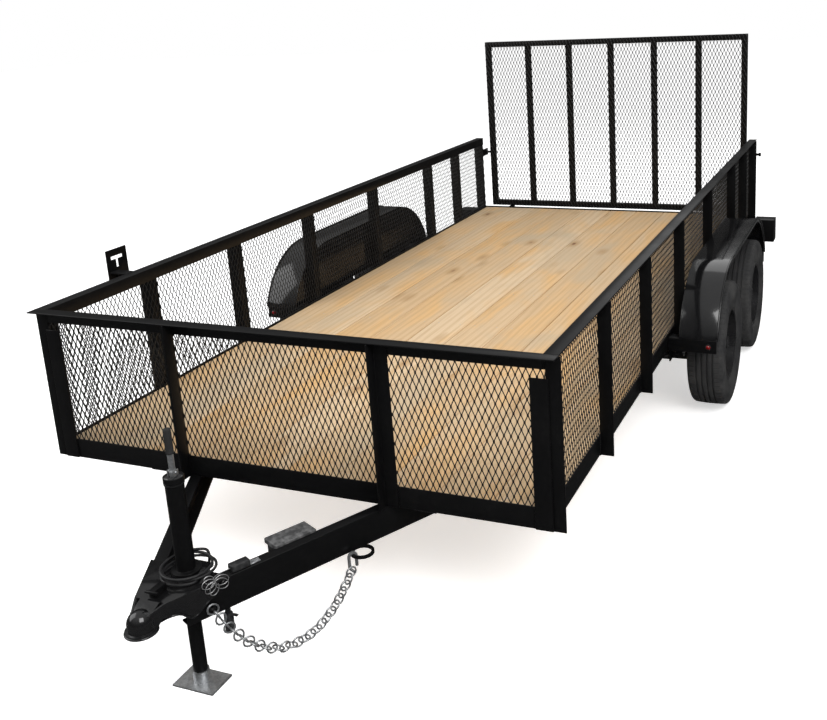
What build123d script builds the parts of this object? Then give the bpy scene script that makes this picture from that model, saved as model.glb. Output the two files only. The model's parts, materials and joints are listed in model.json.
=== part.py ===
"""Tandem-axle utility trailer with mesh sides, a timber deck and a fold-down ramp gate.

Millimetres. +X to the right of the trailer as seen from its tongue, +Y to the rear,
+Z up. The origin is on the ground, below the middle of the whole trailer.
"""
import math
import os

from build123d import *

os.makedirs("parts", exist_ok=True)

# Bed frame: angle iron with the tall leg outside and the foot turned inward
BED_LENGTH = 4267.0
FRAME_WIDTH = 1956.0
FRAME_BOTTOM = 384.0
RAIL_HEIGHT = 76.0
RAIL_FOOT = 51.0
RAIL_WALL = 6.0
CROSS_COUNT = 7
CROSS_FOOT = 51.0
CROSS_WALL = 5.0

# Timber deck, boards running lengthwise
DECK_TOP = 452.0
BOARD_THICKNESS = 38.0
BOARD_COUNT = 10
BOARD_GAP = 3.0

# Side and front walls: angle posts outside the rails, mesh inside them
WALL_TOP = 975.0
POST_LEG = 51.0
POST_WALL = 5.0
TOP_REACH = 51.0
TOP_DROP = 51.0
TOP_WALL = 5.0
MESH_THICKNESS = 3.0
MESH_STRIP = 20.0
MESH_COLUMNS = 12
MESH_ROWS = 2
GATE_MESH_ROWS = 5
CORNER_LEG = 51.0
CORNER_LAP = 10.0
CORNER_GAP = 28.0
# Side posts between the corner posts, from the bed's middle
POST_PLACES = (-1574.5, -966.5, -309.5, 416.5, 1188.5, 1642.5)
FRONT_POST_X = 400.0

# Tongue: two channels meeting at the coupler
COUPLER_REACH = 800.0
TONGUE_HALF_ANGLE = 27.0
TONGUE_HEIGHT = 102.0
TONGUE_FLANGE = 41.0
TONGUE_WALL = 6.0
TONGUE_UNDER_BED = 620.0
TONGUE_NOSE_GAP = 150.0
TONGUE_APEX = 0.0

# Coupler
BALL_RADIUS = 29.4
BALL_CLEARANCE = 0.3
COUPLER_WALL = 9.0
COUPLER_PLATE = 6.0
COUPLER_LENGTH = 275.0
COUPLER_LIP = 8.0
COUPLER_SEAT = 44.0
COUPLER_SEAT_HALF = 55.0
NECK_BACK = 48.0
NECK_HALF = 34.0
NECK_DROP = 18.0
# Lower edge of the coupler's skirts: behind the tip, and below the top of the plate
SKIRT_LINE = ((40, 68), (64, 66), (87, 44), (135, 52), (158, 83), (175, 83), (228, 43), (243, 38))
BALL_CENTRE_Z = 348.0
SOCKET_DEPTH = 26.0
LATCH_LENGTH = 50.0
LATCH_BACK = 12.0
LATCH_WIDTH = 22.0
LATCH_TOP = 412.0
LATCH_PIN_R = 5.0

# Jack
JACK_REACH = 540.0
JACK_TUBE_R = 28.5
JACK_TUBE_WALL = 4.0
JACK_LEG_R = 22.0
JACK_SLIDE_CLEARANCE = 0.3
JACK_TUBE_BOTTOM = 290.0
JACK_TUBE_TOP = 684.0
JACK_TRAVEL = 240.0
JACK_LEG_END_GAP = 10.0
JACK_CAP_R = 31.0
JACK_CAP_HEIGHT = 18.0
JACK_FLANGE_R = 46.0
JACK_FLANGE_THICKNESS = 8.0
JACK_BUSH_HEIGHT = 20.0
JACK_MOUNT_CLEARANCE = 0.3
CRANK_BOSS = 15.0
CRANK_BOSS_R = 10.0
CRANK_BAR_WIDTH = 20.0
CRANK_BAR_THICKNESS = 6.0
CRANK_BAR_TOP = 70.0
GRIP_LENGTH = 80.0
GRIP_R = 12.0
GRIP_ROUND = 3.0
FOOT_WIDTH = 150.0
FOOT_DEPTH = 100.0
FOOT_PLATE = 6.0
FOOT_COLLAR_R = 26.0
FOOT_COLLAR_TOP = 45.0

# Breakaway kit on the right channel
BATTERY_AHEAD = 299.0
BATTERY_LENGTH = 138.0
BATTERY_WIDTH = 64.0
BATTERY_HEIGHT = 100.0
BATTERY_LID = 8.0
BATTERY_ROUND = 6.0
SWITCH_AHEAD = 483.0
SWITCH_LENGTH = 62.0
SWITCH_WIDTH = 30.0
SWITCH_HEIGHT = 22.0
SWITCH_ROUND = 5.0

# Wheels and running gear
TYRE_R = 305.0
TYRE_WIDTH = 178.0
RIM_R = 165.0
RIM_FLANGE = 12.0
RIM_WALL = 5.0
WHEEL_OFFSET = 150.5
AXLE_SPACING = 838.0
AXLE_BACK = 367.5
AXLE_DROP = 76.0
AXLE_R = 30.0
AXLE_ARM = 50.0
SPINDLE_R = 17.0
SPINDLE_CLEARANCE = 0.3
SPINDLE_OUT = 25.0
AXLE_ARM_GAP = 42.0
BACKING_OFFSET = 69.0
BACKING_PLATE = 6.0
RIM_SEAT_GAP = 0.3
TYRE_BULGE = 20.0
TYRE_BELLY = 38.0
TREAD_HALF = 58.0
SHOULDER_OUT = 19.0
SHOULDER_DOWN = 9.0
HUB_CAP_OUT = 60.0
DRUM_BACK = 75.0
CLAMP_ROD_R = 6.0
CLAMP_PLATE = 8.0
CLAMP_GAP = 0.3
HUB_R = 62.0
DRUM_R = 128.0
DRUM_WIDTH = 58.0
HUB_CAP_R = 31.0
SPRING_INSET = 27.0
SPRING_SPAN = 641.0
SPRING_WIDTH = 45.0
LEAF_THICKNESS = 7.0
LEAF_SHARES = (1.0, 0.8, 0.58, 0.36)
SPRING_SEAT = 6.0
SPRING_EYE_Z = 330.0
EYE_R = 16.0
BOLT_R = 7.0
BOLT_CLEARANCE = 0.3
HANGER_PLATE = 6.0
HANGER_DEPTH = 62.0
HANGER_SIDE_GAP = 1.0

# Fenders
FENDER_WIDTH = 175.0
FENDER_TOP = 728.0
FENDER_SHEET = 3.0
FENDER_LIP = 20.0
FENDER_END_Z = 447.0
BRACKET_LEG = 62.0
BRACKET_WALL = 5.0

# Lamps
MARKER_R = 14.0
MARKER_DEPTH = 12.0
MARKER_INSET = 40.0
TAIL_BOX_WIDTH = 130.0
TAIL_BOX_HEIGHT = 150.0
TAIL_BOX_DEPTH = 110.0
TAIL_BOX_WALL = 4.0
TAIL_BOX_TOP = 445.0
TAIL_LAMP_R = 52.0
TAIL_LAMP_DEPTH = 30.0

# Ramp gate
GATE_INSET = 33.5
GATE_BOTTOM = 455.0
GATE_HEIGHT = 1215.0
GATE_BAR = 38.0
GATE_UPRIGHTS = 5
GATE_GAP = 60.0
HINGE_BACK = 20.0
HINGE_Z = 430.0
HINGE_PIN_R = 9.5
HINGE_CLEARANCE = 0.3
HINGE_LUG_R = 18.0
HINGE_PLATE = 8.0
HINGE_SIDE_GAP = 2.0
HINGE_INSET = 178.0
CATCH_WIDTH = 50.0
CATCH_WALL = 6.0
CATCH_LAP = 40.0
CATCH_REACH = 110.0
CATCH_DOWN = 90.0
CATCH_PIN_R = 8.0
CATCH_PIN_GAP = 7.0
CATCH_PIN_OUT = 40.0
CATCH_KNOB_R = 13.0
CATCH_KNOB = 12.0

# Spare wheel carrier on the left wall
CARRIER_REACH = 100.0
CARRIER_PLATE = 120.0
CARRIER_WALL = 6.0
CARRIER_RISE = 85.0
CARRIER_ARM = 51.0
CARRIER_ARM_GAP = 4.0
CARRIER_SLOT = 14.0
CARRIER_SLOT_LENGTH = 70.0
CARRIER_SLOT_DROP = 50.0
CARRIER_SLOT_DOWN = 30.0

# Safety chain
CHAIN_WIRE = 6.0
CHAIN_THICKNESS = 5.6
CHAIN_INSIDE_LENGTH = 24.0
CHAIN_INSIDE_WIDTH = 10.0
CHAIN_SLACK = 0.98
CHAIN_LINKS = 29
CHAIN_TOLERANCE = 1e-9
STUD_AHEAD = 585.0
STUD_Z = 315.0
STUD_LENGTH = 22.0
RING_AHEAD = 118.0
RING_R = 36.0
RING_OUT = 18.0
RING_SIDES = 16
HOLD_R = 4.5
HOOK_WIRE = 8.0
HOOK_BEND = 14.0
HOOK_GAP = 0.2
HOOK_DROP = 38.0
HOOK_OUT = 14.0
HOOK_PIN = 24.0

# Wiring harness: its slack coiled round the jack, its plug hanging between the channels
COIL_INSIDE = 62.0
COIL_OUTSIDE = 90.0
COIL_HEIGHT = 26.0
COIL_SHIFT = (12.0, -6.0)
CABLE_R = 4.5
CABLE_EDGE = 1.5
CABLE_BEND_SHARE = 0.45
# Points of the hanging cable below the coil, from where it leaves it
CABLE_RUN = ((0, 0, -50), (60, -4, -112), (60, -4, -160))
PLUG_R = 15.0
PLUG_LENGTH = 62.0
PLUG_NECK_R = 9.0
PLUG_NECK = 20.0
PLUG_TAB = 20.0
PLUG_TAB_WIDTH = 10.0
PLUG_TAB_THICKNESS = 5.0

# Breakaway lanyard: a thin cable from the switch, tied in a bow beside the coupler
LANYARD_R = 1.5
# Points of the lanyard from the middle of the switch's front face: along, inward, up
LANYARD_RUN = ((-22, 0, 0), (-46, -4, 0), (-64, -15, 0), (-64, -26.5, 0))
BOW_LOBES = ((-24, 2, 24), (22, -14, 20), (-12, -24, 18))
BOW_THICKNESS = 6.0
BOW_KNOT_R = 9.0

# Places worked out from the sizes above
GATE_REACH = GATE_GAP + GATE_BAR / 2 + HINGE_BACK + HINGE_LUG_R
OVERALL_LENGTH = COUPLER_REACH + BED_LENGTH + GATE_REACH
FRONT = COUPLER_REACH - OVERALL_LENGTH / 2
REAR = FRONT + BED_LENGTH
BED_MIDDLE = (FRONT + REAR) / 2
RAIL_X = FRAME_WIDTH / 2
RAIL_TOP = FRAME_BOTTOM + RAIL_HEIGHT
POST_X = RAIL_X + POST_LEG
DECK_BOTTOM = DECK_TOP - BOARD_THICKNESS
JACK_Y = FRONT - JACK_REACH
TONGUE_TOP = FRAME_BOTTOM
TIP_Y = FRONT - COUPLER_REACH
MIDDLE_Y = BED_MIDDLE + AXLE_BACK
AXLE_Y = {"front": MIDDLE_Y - AXLE_SPACING / 2, "rear": MIDDLE_Y + AXLE_SPACING / 2}
WHEEL_X = RAIL_X + WHEEL_OFFSET
BACKING_X = RAIL_X + BACKING_OFFSET
SPRING_X = RAIL_X - SPRING_INSET
HINGE_X = RAIL_X - HINGE_INSET
GATE_X = RAIL_X - GATE_INSET
SIDES = {"left": -1, "right": 1}


def keep(piece, name):
    """Label one finished piece and write it to its own file."""
    piece.part.label = name
    export_step(piece.part, f"parts/{name}.step")


def block(x, y, z, mode=Mode.ADD):
    """Add a box between the two values of each of x, y and z."""
    with Locations(((x[0] + x[1]) / 2, (y[0] + y[1]) / 2, (z[0] + z[1]) / 2)):
        Box(abs(x[1] - x[0]), abs(y[1] - y[0]), abs(z[1] - z[0]), mode=mode)


def rod_x(x, y, z, radius, mode=Mode.ADD):
    """Add a round bar along X between the two values of x."""
    with Locations(Location(((x[0] + x[1]) / 2, y, z), (0, 90, 0))):
        Cylinder(radius, abs(x[1] - x[0]), mode=mode)


def rod_z(x, y, z, radius, mode=Mode.ADD):
    """Add a round bar along Z between the two values of z."""
    with Locations((x, y, (z[0] + z[1]) / 2)):
        Cylinder(radius, abs(z[1] - z[0]), mode=mode)


# Bed frame
for side, s in SIDES.items():
    with BuildPart() as side_rail:
        block((s * (RAIL_X - RAIL_WALL), s * RAIL_X), (FRONT, REAR), (FRAME_BOTTOM, RAIL_TOP))
        block(
            (s * (RAIL_X - RAIL_FOOT), s * RAIL_X), (FRONT, REAR), (FRAME_BOTTOM, FRAME_BOTTOM + RAIL_WALL)
        )
    keep(side_rail, f"rail_{side}")

INNER_X = RAIL_X - RAIL_WALL
FOOT_X = RAIL_X - RAIL_FOOT
for end, edge, inward in (("front", FRONT, 1), ("rear", REAR, -1)):
    with BuildPart() as end_rail:
        block((-INNER_X, INNER_X), (edge, edge + inward * RAIL_WALL), (FRAME_BOTTOM + RAIL_WALL, RAIL_TOP))
        block((-FOOT_X, FOOT_X), (edge, edge + inward * RAIL_FOOT), (FRAME_BOTTOM, FRAME_BOTTOM + RAIL_WALL))
    keep(end_rail, f"rail_{end}")

with BuildPart() as crossmembers:
    pitch = BED_LENGTH / (CROSS_COUNT + 1)
    for number in range(1, CROSS_COUNT + 1):
        y = FRONT + number * pitch
        block((-INNER_X, INNER_X), (y, y + CROSS_FOOT), (DECK_BOTTOM - CROSS_WALL, DECK_BOTTOM))
        block((-FOOT_X, FOOT_X), (y, y + CROSS_WALL), (FRAME_BOTTOM, DECK_BOTTOM))
keep(crossmembers, "crossmembers")

with BuildPart() as deck_boards:
    room = 2 * INNER_X - (BOARD_COUNT + 1) * BOARD_GAP
    board_width = room / BOARD_COUNT
    for number in range(BOARD_COUNT):
        x = -INNER_X + BOARD_GAP + number * (board_width + BOARD_GAP)
        block((x, x + board_width), (FRONT + RAIL_WALL, REAR - RAIL_WALL), (DECK_BOTTOM, DECK_TOP))
keep(deck_boards, "deck_boards")

# Walls: each post is an angle with one leg flat on the rail and one leg standing out
POST_TOP = WALL_TOP - TOP_WALL
DROP_Z = WALL_TOP - TOP_DROP
SIDE_POST_Y = [FRONT, *(BED_MIDDLE + place for place in POST_PLACES), REAR - POST_LEG]
for side, s in SIDES.items():
    with BuildPart() as side_posts:
        for y in SIDE_POST_Y:
            block((s * RAIL_X, s * (RAIL_X + POST_WALL)), (y, y + POST_LEG), (FRAME_BOTTOM, POST_TOP))
            block((s * RAIL_X, s * POST_X), (y, y + POST_WALL), (FRAME_BOTTOM, POST_TOP))
    keep(side_posts, f"posts_{side}")

with BuildPart() as front_posts:
    for x in (-FRONT_POST_X, FRONT_POST_X):
        block((x - POST_LEG, x), (FRONT - POST_WALL, FRONT), (FRAME_BOTTOM, POST_TOP))
        block((x - POST_WALL, x), (FRONT - POST_LEG, FRONT), (FRAME_BOTTOM, POST_TOP))
    for s in SIDES.values():
        block(
            (s * (RAIL_X - CORNER_LEG), s * (RAIL_X + CORNER_LAP)),
            (FRONT - POST_WALL, FRONT),
            (FRAME_BOTTOM, DROP_Z - CORNER_GAP),
        )
keep(front_posts, "posts_front")

WALL_X = RAIL_X - TOP_WALL
for side, s in SIDES.items():
    with BuildPart() as side_top:
        block((s * WALL_X, s * (WALL_X + TOP_REACH)), (FRONT, REAR), (POST_TOP, WALL_TOP))
        block((s * WALL_X, s * RAIL_X), (FRONT, REAR), (DROP_Z, WALL_TOP))
    keep(side_top, f"top_rail_{side}")

with BuildPart() as front_top:
    corner_x = WALL_X + TOP_REACH
    block((-corner_x, corner_x), (FRONT + TOP_WALL - TOP_REACH, FRONT), (POST_TOP, WALL_TOP))
    block((-WALL_X, WALL_X), (FRONT, FRONT + TOP_WALL), (DROP_Z, WALL_TOP))
keep(front_top, "top_rail_front")


def open_sheet(plane, width, height, rows):
    """Sketch of a mesh panel about the middle of a plane, with a plain grid of openings."""
    with BuildSketch(plane) as sheet:
        Rectangle(width, height)
        across = (width - MESH_STRIP) / MESH_COLUMNS
        upright = (height - MESH_STRIP) / rows
        with GridLocations(across, upright, MESH_COLUMNS, rows):
            Rectangle(across - MESH_STRIP, upright - MESH_STRIP, mode=Mode.SUBTRACT)
    return sheet.sketch


MESH_MIDDLE = (RAIL_TOP + DROP_Z) / 2
MESH_HEIGHT = DROP_Z - RAIL_TOP
for side, s in SIDES.items():
    with BuildPart() as side_mesh:
        wall = Plane((s * RAIL_X, BED_MIDDLE, MESH_MIDDLE), x_dir=(0, 1, 0), z_dir=(1, 0, 0))
        extrude(open_sheet(wall, BED_LENGTH, MESH_HEIGHT, MESH_ROWS), amount=-s * MESH_THICKNESS)
    keep(side_mesh, f"mesh_{side}")

with BuildPart() as front_mesh:
    outside = Plane((0, FRONT, MESH_MIDDLE), x_dir=(1, 0, 0), z_dir=(0, -1, 0))
    front_width = 2 * (RAIL_X - MESH_THICKNESS)
    extrude(open_sheet(outside, front_width, MESH_HEIGHT, MESH_ROWS), amount=-MESH_THICKNESS)
keep(front_mesh, "mesh_front")

# Tongue channels, web outside and flanges inward
TONGUE_SPREAD = math.tan(math.radians(TONGUE_HALF_ANGLE))


def tongue_x(y):
    """Distance of a channel's outer face from the middle line at one y."""
    return TONGUE_SPREAD * (y - TIP_Y + TONGUE_APEX)


for side, s in SIDES.items():
    start_y = TIP_Y + TONGUE_NOSE_GAP
    end_y = FRONT + TONGUE_UNDER_BED
    run = (end_y - start_y) / math.cos(math.radians(TONGUE_HALF_ANGLE))
    start = Vector(s * tongue_x(start_y), start_y, TONGUE_TOP)
    along = Vector(s * TONGUE_SPREAD, 1, 0).normalized()
    inward = Vector(-s, TONGUE_SPREAD, 0).normalized()
    with BuildPart() as tongue:
        with BuildSketch(Plane(origin=start, x_dir=inward, z_dir=along)) as channel:
            down = -s * TONGUE_HEIGHT
            wall = -s * TONGUE_WALL
            with BuildLine():
                Polyline(
                    (0, 0),
                    (TONGUE_FLANGE, 0),
                    (TONGUE_FLANGE, wall),
                    (TONGUE_WALL, wall),
                    (TONGUE_WALL, down - wall),
                    (TONGUE_FLANGE, down - wall),
                    (TONGUE_FLANGE, down),
                    (0, down),
                    close=True,
                )
            make_face()
        extrude(amount=run)
    keep(tongue, f"tongue_{side}")

# Coupler: plate over the channels' noses, skirts outside them, ball socket at the tip
SOCKET_R = BALL_RADIUS + BALL_CLEARANCE
NOSE_R = SOCKET_R + COUPLER_WALL
BALL_Y = TIP_Y + NOSE_R + COUPLER_LIP
COUPLER_REAR = TIP_Y + COUPLER_LENGTH
PLATE_Z = TONGUE_TOP
PLATE_TOP = PLATE_Z + COUPLER_PLATE
NECK_Y = BALL_Y + NECK_BACK
SOCKET_MOUTH = BALL_CENTRE_Z - SOCKET_DEPTH
TONGUE_COS = math.cos(math.radians(TONGUE_HALF_ANGLE))
TONGUE_SIN = math.sin(math.radians(TONGUE_HALF_ANGLE))
neck_half = tongue_x(NECK_Y) + COUPLER_PLATE / TONGUE_COS
rear_half = tongue_x(COUPLER_REAR) + COUPLER_PLATE / TONGUE_COS
with BuildPart() as coupler:
    with BuildSketch(Plane.XY.offset(PLATE_Z)):
        with BuildLine():
            Polyline(
                (neck_half, NECK_Y),
                (rear_half, COUPLER_REAR),
                (-rear_half, COUPLER_REAR),
                (-neck_half, NECK_Y),
                close=True,
            )
        make_face()
        with Locations((0, COUPLER_REAR + COUPLER_SEAT / 2)):
            Rectangle(2 * COUPLER_SEAT_HALF, COUPLER_SEAT)
    extrude(amount=COUPLER_PLATE)
    with BuildSketch(Plane.YZ):
        with BuildLine():
            Polyline(
                (BALL_Y, PLATE_TOP - NECK_DROP),
                (NECK_Y, PLATE_TOP),
                (NECK_Y, PLATE_Z),
                (BALL_Y, PLATE_Z - NECK_DROP),
                close=True,
            )
        make_face()
    extrude(amount=NECK_HALF, both=True)
    with Locations((0, BALL_Y, BALL_CENTRE_Z)):
        Sphere(NOSE_R)
    rod_z(0, BALL_Y, (SOCKET_MOUTH, BALL_CENTRE_Z), NOSE_R)
    rod_z(0, BALL_Y, (SOCKET_MOUTH, SOCKET_MOUTH + COUPLER_LIP), NOSE_R + COUPLER_LIP)
    for s in SIDES.values():
        along = Vector(s * TONGUE_SIN, TONGUE_COS, 0)
        face = Plane((0, TIP_Y - TONGUE_APEX, 0), x_dir=along, z_dir=(TONGUE_COS, -s * TONGUE_SIN, 0))
        with BuildSketch(face):
            with BuildLine():
                Polyline(
                    *((back / TONGUE_COS, PLATE_TOP - drop) for back, drop in SKIRT_LINE),
                    (SKIRT_LINE[-1][0] / TONGUE_COS, PLATE_TOP),
                    ((NECK_Y - TIP_Y) / TONGUE_COS, PLATE_TOP),
                    (SKIRT_LINE[0][0] / TONGUE_COS, PLATE_TOP - NECK_DROP),
                    close=True,
                )
            make_face()
        extrude(amount=s * COUPLER_PLATE)
    rod_z(0, BALL_Y, (BALL_CENTRE_Z - NOSE_R, BALL_CENTRE_Z), SOCKET_R, Mode.SUBTRACT)
    with Locations((0, BALL_Y, BALL_CENTRE_Z)):
        Sphere(SOCKET_R, mode=Mode.SUBTRACT)
    rod_z(0, JACK_Y, (PLATE_Z, PLATE_TOP), JACK_TUBE_R, Mode.SUBTRACT)
keep(coupler, "coupler")

with BuildPart() as coupler_latch:
    latch_y = NECK_Y + LATCH_BACK
    latch_half = LATCH_WIDTH / 2
    block((-latch_half, latch_half), (latch_y, latch_y + LATCH_LENGTH), (PLATE_TOP, LATCH_TOP))
    rod_x((-LATCH_WIDTH, LATCH_WIDTH), latch_y, LATCH_TOP - LATCH_PIN_R, LATCH_PIN_R)
keep(coupler_latch, "coupler_latch")

# Jack: outer tube through the coupler plate, leg sliding in its bush
with BuildPart() as jack_housing:
    rod_z(0, JACK_Y, (JACK_TUBE_BOTTOM, JACK_TUBE_TOP), JACK_TUBE_R - JACK_MOUNT_CLEARANCE)
    rod_z(0, JACK_Y, (PLATE_TOP, PLATE_TOP + JACK_FLANGE_THICKNESS), JACK_FLANGE_R)
    rod_z(0, JACK_Y, (JACK_TUBE_TOP, JACK_TUBE_TOP + JACK_CAP_HEIGHT), JACK_CAP_R)
    rod_z(0, JACK_Y, (JACK_TUBE_BOTTOM, JACK_TUBE_TOP), JACK_TUBE_R - JACK_TUBE_WALL, Mode.SUBTRACT)
    with Locations((0, JACK_Y, JACK_TUBE_BOTTOM + JACK_BUSH_HEIGHT / 2)):
        Cylinder(JACK_TUBE_R - JACK_TUBE_WALL, JACK_BUSH_HEIGHT)
        Cylinder(JACK_LEG_R + JACK_SLIDE_CLEARANCE, JACK_BUSH_HEIGHT, mode=Mode.SUBTRACT)
keep(jack_housing, "jack_housing")

with BuildPart() as jack_crank:
    crank_z = JACK_TUBE_TOP + JACK_CAP_HEIGHT
    rod_z(0, JACK_Y, (crank_z, crank_z + CRANK_BOSS), CRANK_BOSS_R)
    block(
        (-CRANK_BAR_WIDTH / 2, CRANK_BAR_WIDTH / 2),
        (JACK_Y - CRANK_BAR_THICKNESS / 2, JACK_Y + CRANK_BAR_THICKNESS / 2),
        (crank_z + CRANK_BOSS, crank_z + CRANK_BAR_TOP),
    )
keep(jack_crank, "jack_crank")

with BuildPart() as jack_grip:
    grip_z = crank_z + CRANK_BAR_TOP
    rod_z(0, JACK_Y, (grip_z, grip_z + GRIP_LENGTH), GRIP_R)
    chamfer(jack_grip.edges().filter_by(GeomType.CIRCLE), GRIP_ROUND)
keep(jack_grip, "jack_grip")

JACK_LEG_TOP = JACK_TUBE_TOP - JACK_TRAVEL - JACK_LEG_END_GAP
with BuildPart() as jack_leg:
    rod_z(0, JACK_Y, (FOOT_PLATE, JACK_LEG_TOP), JACK_LEG_R)
keep(jack_leg, "jack_leg")

with BuildPart() as jack_foot:
    foot_y = (JACK_Y - FOOT_DEPTH / 2, JACK_Y + FOOT_DEPTH / 2)
    block((-FOOT_WIDTH / 2, FOOT_WIDTH / 2), foot_y, (0, FOOT_PLATE))
    rod_z(0, JACK_Y, (FOOT_PLATE, FOOT_COLLAR_TOP), FOOT_COLLAR_R)
    rod_z(0, JACK_Y, (FOOT_PLATE, FOOT_COLLAR_TOP), JACK_LEG_R, Mode.SUBTRACT)
keep(jack_foot, "jack_foot")


def beside_tongue(ahead, height):
    """Plane on the right tongue channel's outer face: x along it to the rear, y inward, z up."""
    x_dir = Vector(TONGUE_SPREAD, 1, 0).normalized()
    return Plane(origin=(tongue_x(FRONT - ahead), FRONT - ahead, height), x_dir=x_dir, z_dir=(0, 0, 1))


# Breakaway battery box inside the right channel, its switch on the top flange
with BuildPart() as battery_box:
    with BuildSketch(beside_tongue(BATTERY_AHEAD, TONGUE_TOP - BATTERY_HEIGHT)):
        with Locations((0, TONGUE_FLANGE + BATTERY_WIDTH / 2)):
            RectangleRounded(BATTERY_LENGTH, BATTERY_WIDTH, BATTERY_ROUND)
    extrude(amount=BATTERY_HEIGHT)
    with BuildSketch(beside_tongue(BATTERY_AHEAD, TONGUE_TOP)):
        with Locations((0, TONGUE_FLANGE + BATTERY_WIDTH / 2)):
            RectangleRounded(BATTERY_LENGTH + BATTERY_LID, BATTERY_WIDTH + BATTERY_LID, BATTERY_ROUND)
    extrude(amount=BATTERY_LID)
keep(battery_box, "battery_box")

with BuildPart() as breakaway_switch:
    with BuildSketch(beside_tongue(SWITCH_AHEAD, TONGUE_TOP)):
        with Locations((0, TONGUE_FLANGE / 2)):
            RectangleRounded(SWITCH_LENGTH, SWITCH_WIDTH, SWITCH_ROUND)
    extrude(amount=SWITCH_HEIGHT)
keep(breakaway_switch, "breakaway_switch")

# Safety chain slung from a stud on the right channel to a hook on the wire ring below it
RING_Z = TONGUE_TOP - TONGUE_HEIGHT - HOLD_R
HOOK_INSIDE = HOOK_BEND - HOOK_WIRE / 2
HOOK_Z = RING_Z + HOLD_R - math.sqrt((HOOK_INSIDE - HOOK_GAP) ** 2 - HOLD_R**2)
STUD = beside_tongue(STUD_AHEAD, STUD_Z)
RING = beside_tongue(RING_AHEAD, RING_Z)
with BuildPart() as chain_holders:
    with BuildSketch(RING.offset(-HOLD_R)):
        with Locations((0, -RING_OUT)):
            RegularPolygon(RING_R + HOLD_R, RING_SIDES)
            RegularPolygon(RING_R - HOLD_R, RING_SIDES, mode=Mode.SUBTRACT)
    extrude(amount=2 * HOLD_R)
    with BuildSketch(Plane(STUD.origin, x_dir=STUD.x_dir, z_dir=-STUD.y_dir)):
        Circle(HOLD_R)
    extrude(amount=STUD_LENGTH)
keep(chain_holders, "chain_holders")

CHAIN_PITCH = CHAIN_INSIDE_LENGTH - CHAIN_SLACK
PIN_OUT = HOOK_OUT + HOOK_PIN / 2
hook_middle = Vector(*RING.from_local_coords((-RING_R, -HOOK_OUT, HOOK_Z - RING_Z)))
stud_middle = Vector(*STUD.from_local_coords((0, -STUD_LENGTH / 2, 0)))
pin_middle = Vector(*RING.from_local_coords((-RING_R - HOOK_BEND, -PIN_OUT, HOOK_Z - RING_Z - HOOK_DROP)))
level = Vector(pin_middle.X - stud_middle.X, pin_middle.Y - stud_middle.Y, 0)
CHAIN_SPAN = level.length
CHAIN_RISE = pin_middle.Z - stud_middle.Z


def link_slopes(tension, lowest):
    """Slope of each link of an evenly loaded hanging chain, level at its lowest link."""
    return [(number - lowest) / tension for number in range(CHAIN_LINKS)]


def chain_reach(tension, lowest):
    """Level and upright distance between the holders that the hanging chain spans."""
    slopes = link_slopes(tension, lowest)
    flats = [1 / math.hypot(1, slope) for slope in slopes]
    rises = [slope * flat for slope, flat in zip(slopes, flats)]
    end = HOLD_R + CHAIN_SLACK / 2
    return (
        CHAIN_PITCH * sum(flats) - end * (flats[0] + flats[-1]),
        CHAIN_PITCH * sum(rises) - end * (rises[0] + rises[-1]),
    )


def crossing(low, high, below):
    """Value between two others up to which below(value) is true."""
    while high - low > CHAIN_TOLERANCE:
        middle = (low + high) / 2
        low, high = (middle, high) if below(middle) else (low, middle)
    return low


def lowest_link(tension):
    """Place along the chain of its lowest link, for the two holders' heights."""
    return crossing(0.0, CHAIN_LINKS - 1.0, lambda link: chain_reach(tension, link)[1] > CHAIN_RISE)


def too_slack(tension):
    """Whether the chain under this tension falls short of its holders' level distance."""
    return chain_reach(tension, lowest_link(tension))[0] < CHAIN_SPAN


pull = crossing(1.0, float(CHAIN_LINKS), too_slack)
level = level.normalized()
across = level.cross(Vector(0, 0, 1)).normalized()
links = [(level + Vector(0, 0, slope)).normalized() for slope in link_slopes(pull, lowest_link(pull))]
with BuildPart() as safety_chain:
    joint = stud_middle - links[0] * (HOLD_R + CHAIN_SLACK / 2)
    for number, along in enumerate(links):
        face = along.cross(across) if number % 2 else across
        middle = joint + along * (CHAIN_PITCH / 2) - face * (CHAIN_THICKNESS / 2)
        with BuildSketch(Plane(middle, x_dir=along, z_dir=face)):
            Rectangle(CHAIN_INSIDE_LENGTH + 2 * CHAIN_WIRE, CHAIN_INSIDE_WIDTH + 2 * CHAIN_WIRE)
            Rectangle(CHAIN_INSIDE_LENGTH, CHAIN_INSIDE_WIDTH, mode=Mode.SUBTRACT)
        extrude(amount=CHAIN_THICKNESS)
        joint = joint + along * CHAIN_PITCH
    with BuildSketch(Plane(hook_middle, x_dir=RING.x_dir, z_dir=-RING.y_dir)):
        Circle(HOOK_BEND + HOOK_WIRE / 2)
        with Locations((0, -HOOK_DROP / 2)):
            Rectangle(2 * HOOK_BEND + HOOK_WIRE, HOOK_DROP)
            Rectangle(2 * HOOK_INSIDE, HOOK_DROP, mode=Mode.SUBTRACT)
        Circle(HOOK_INSIDE, mode=Mode.SUBTRACT)
    extrude(amount=HOOK_WIRE / 2, both=True)
    pin_start = RING.from_local_coords((-RING_R - HOOK_BEND, -HOOK_OUT, HOOK_Z - RING_Z - HOOK_DROP))
    with BuildSketch(Plane(pin_start, x_dir=RING.x_dir, z_dir=-RING.y_dir)):
        Circle(HOLD_R)
    extrude(amount=HOOK_PIN)
keep(safety_chain, "safety_chain")

# Wiring harness
COIL_X = COIL_SHIFT[0]
COIL_Y = JACK_Y + COIL_SHIFT[1]
with BuildPart() as harness_coil:
    rod_z(COIL_X, COIL_Y, (PLATE_TOP, PLATE_TOP + COIL_HEIGHT), COIL_OUTSIDE)
    rod_z(COIL_X, COIL_Y, (PLATE_TOP, PLATE_TOP + COIL_HEIGHT), COIL_INSIDE, Mode.SUBTRACT)
keep(harness_coil, "harness_coil")


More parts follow.
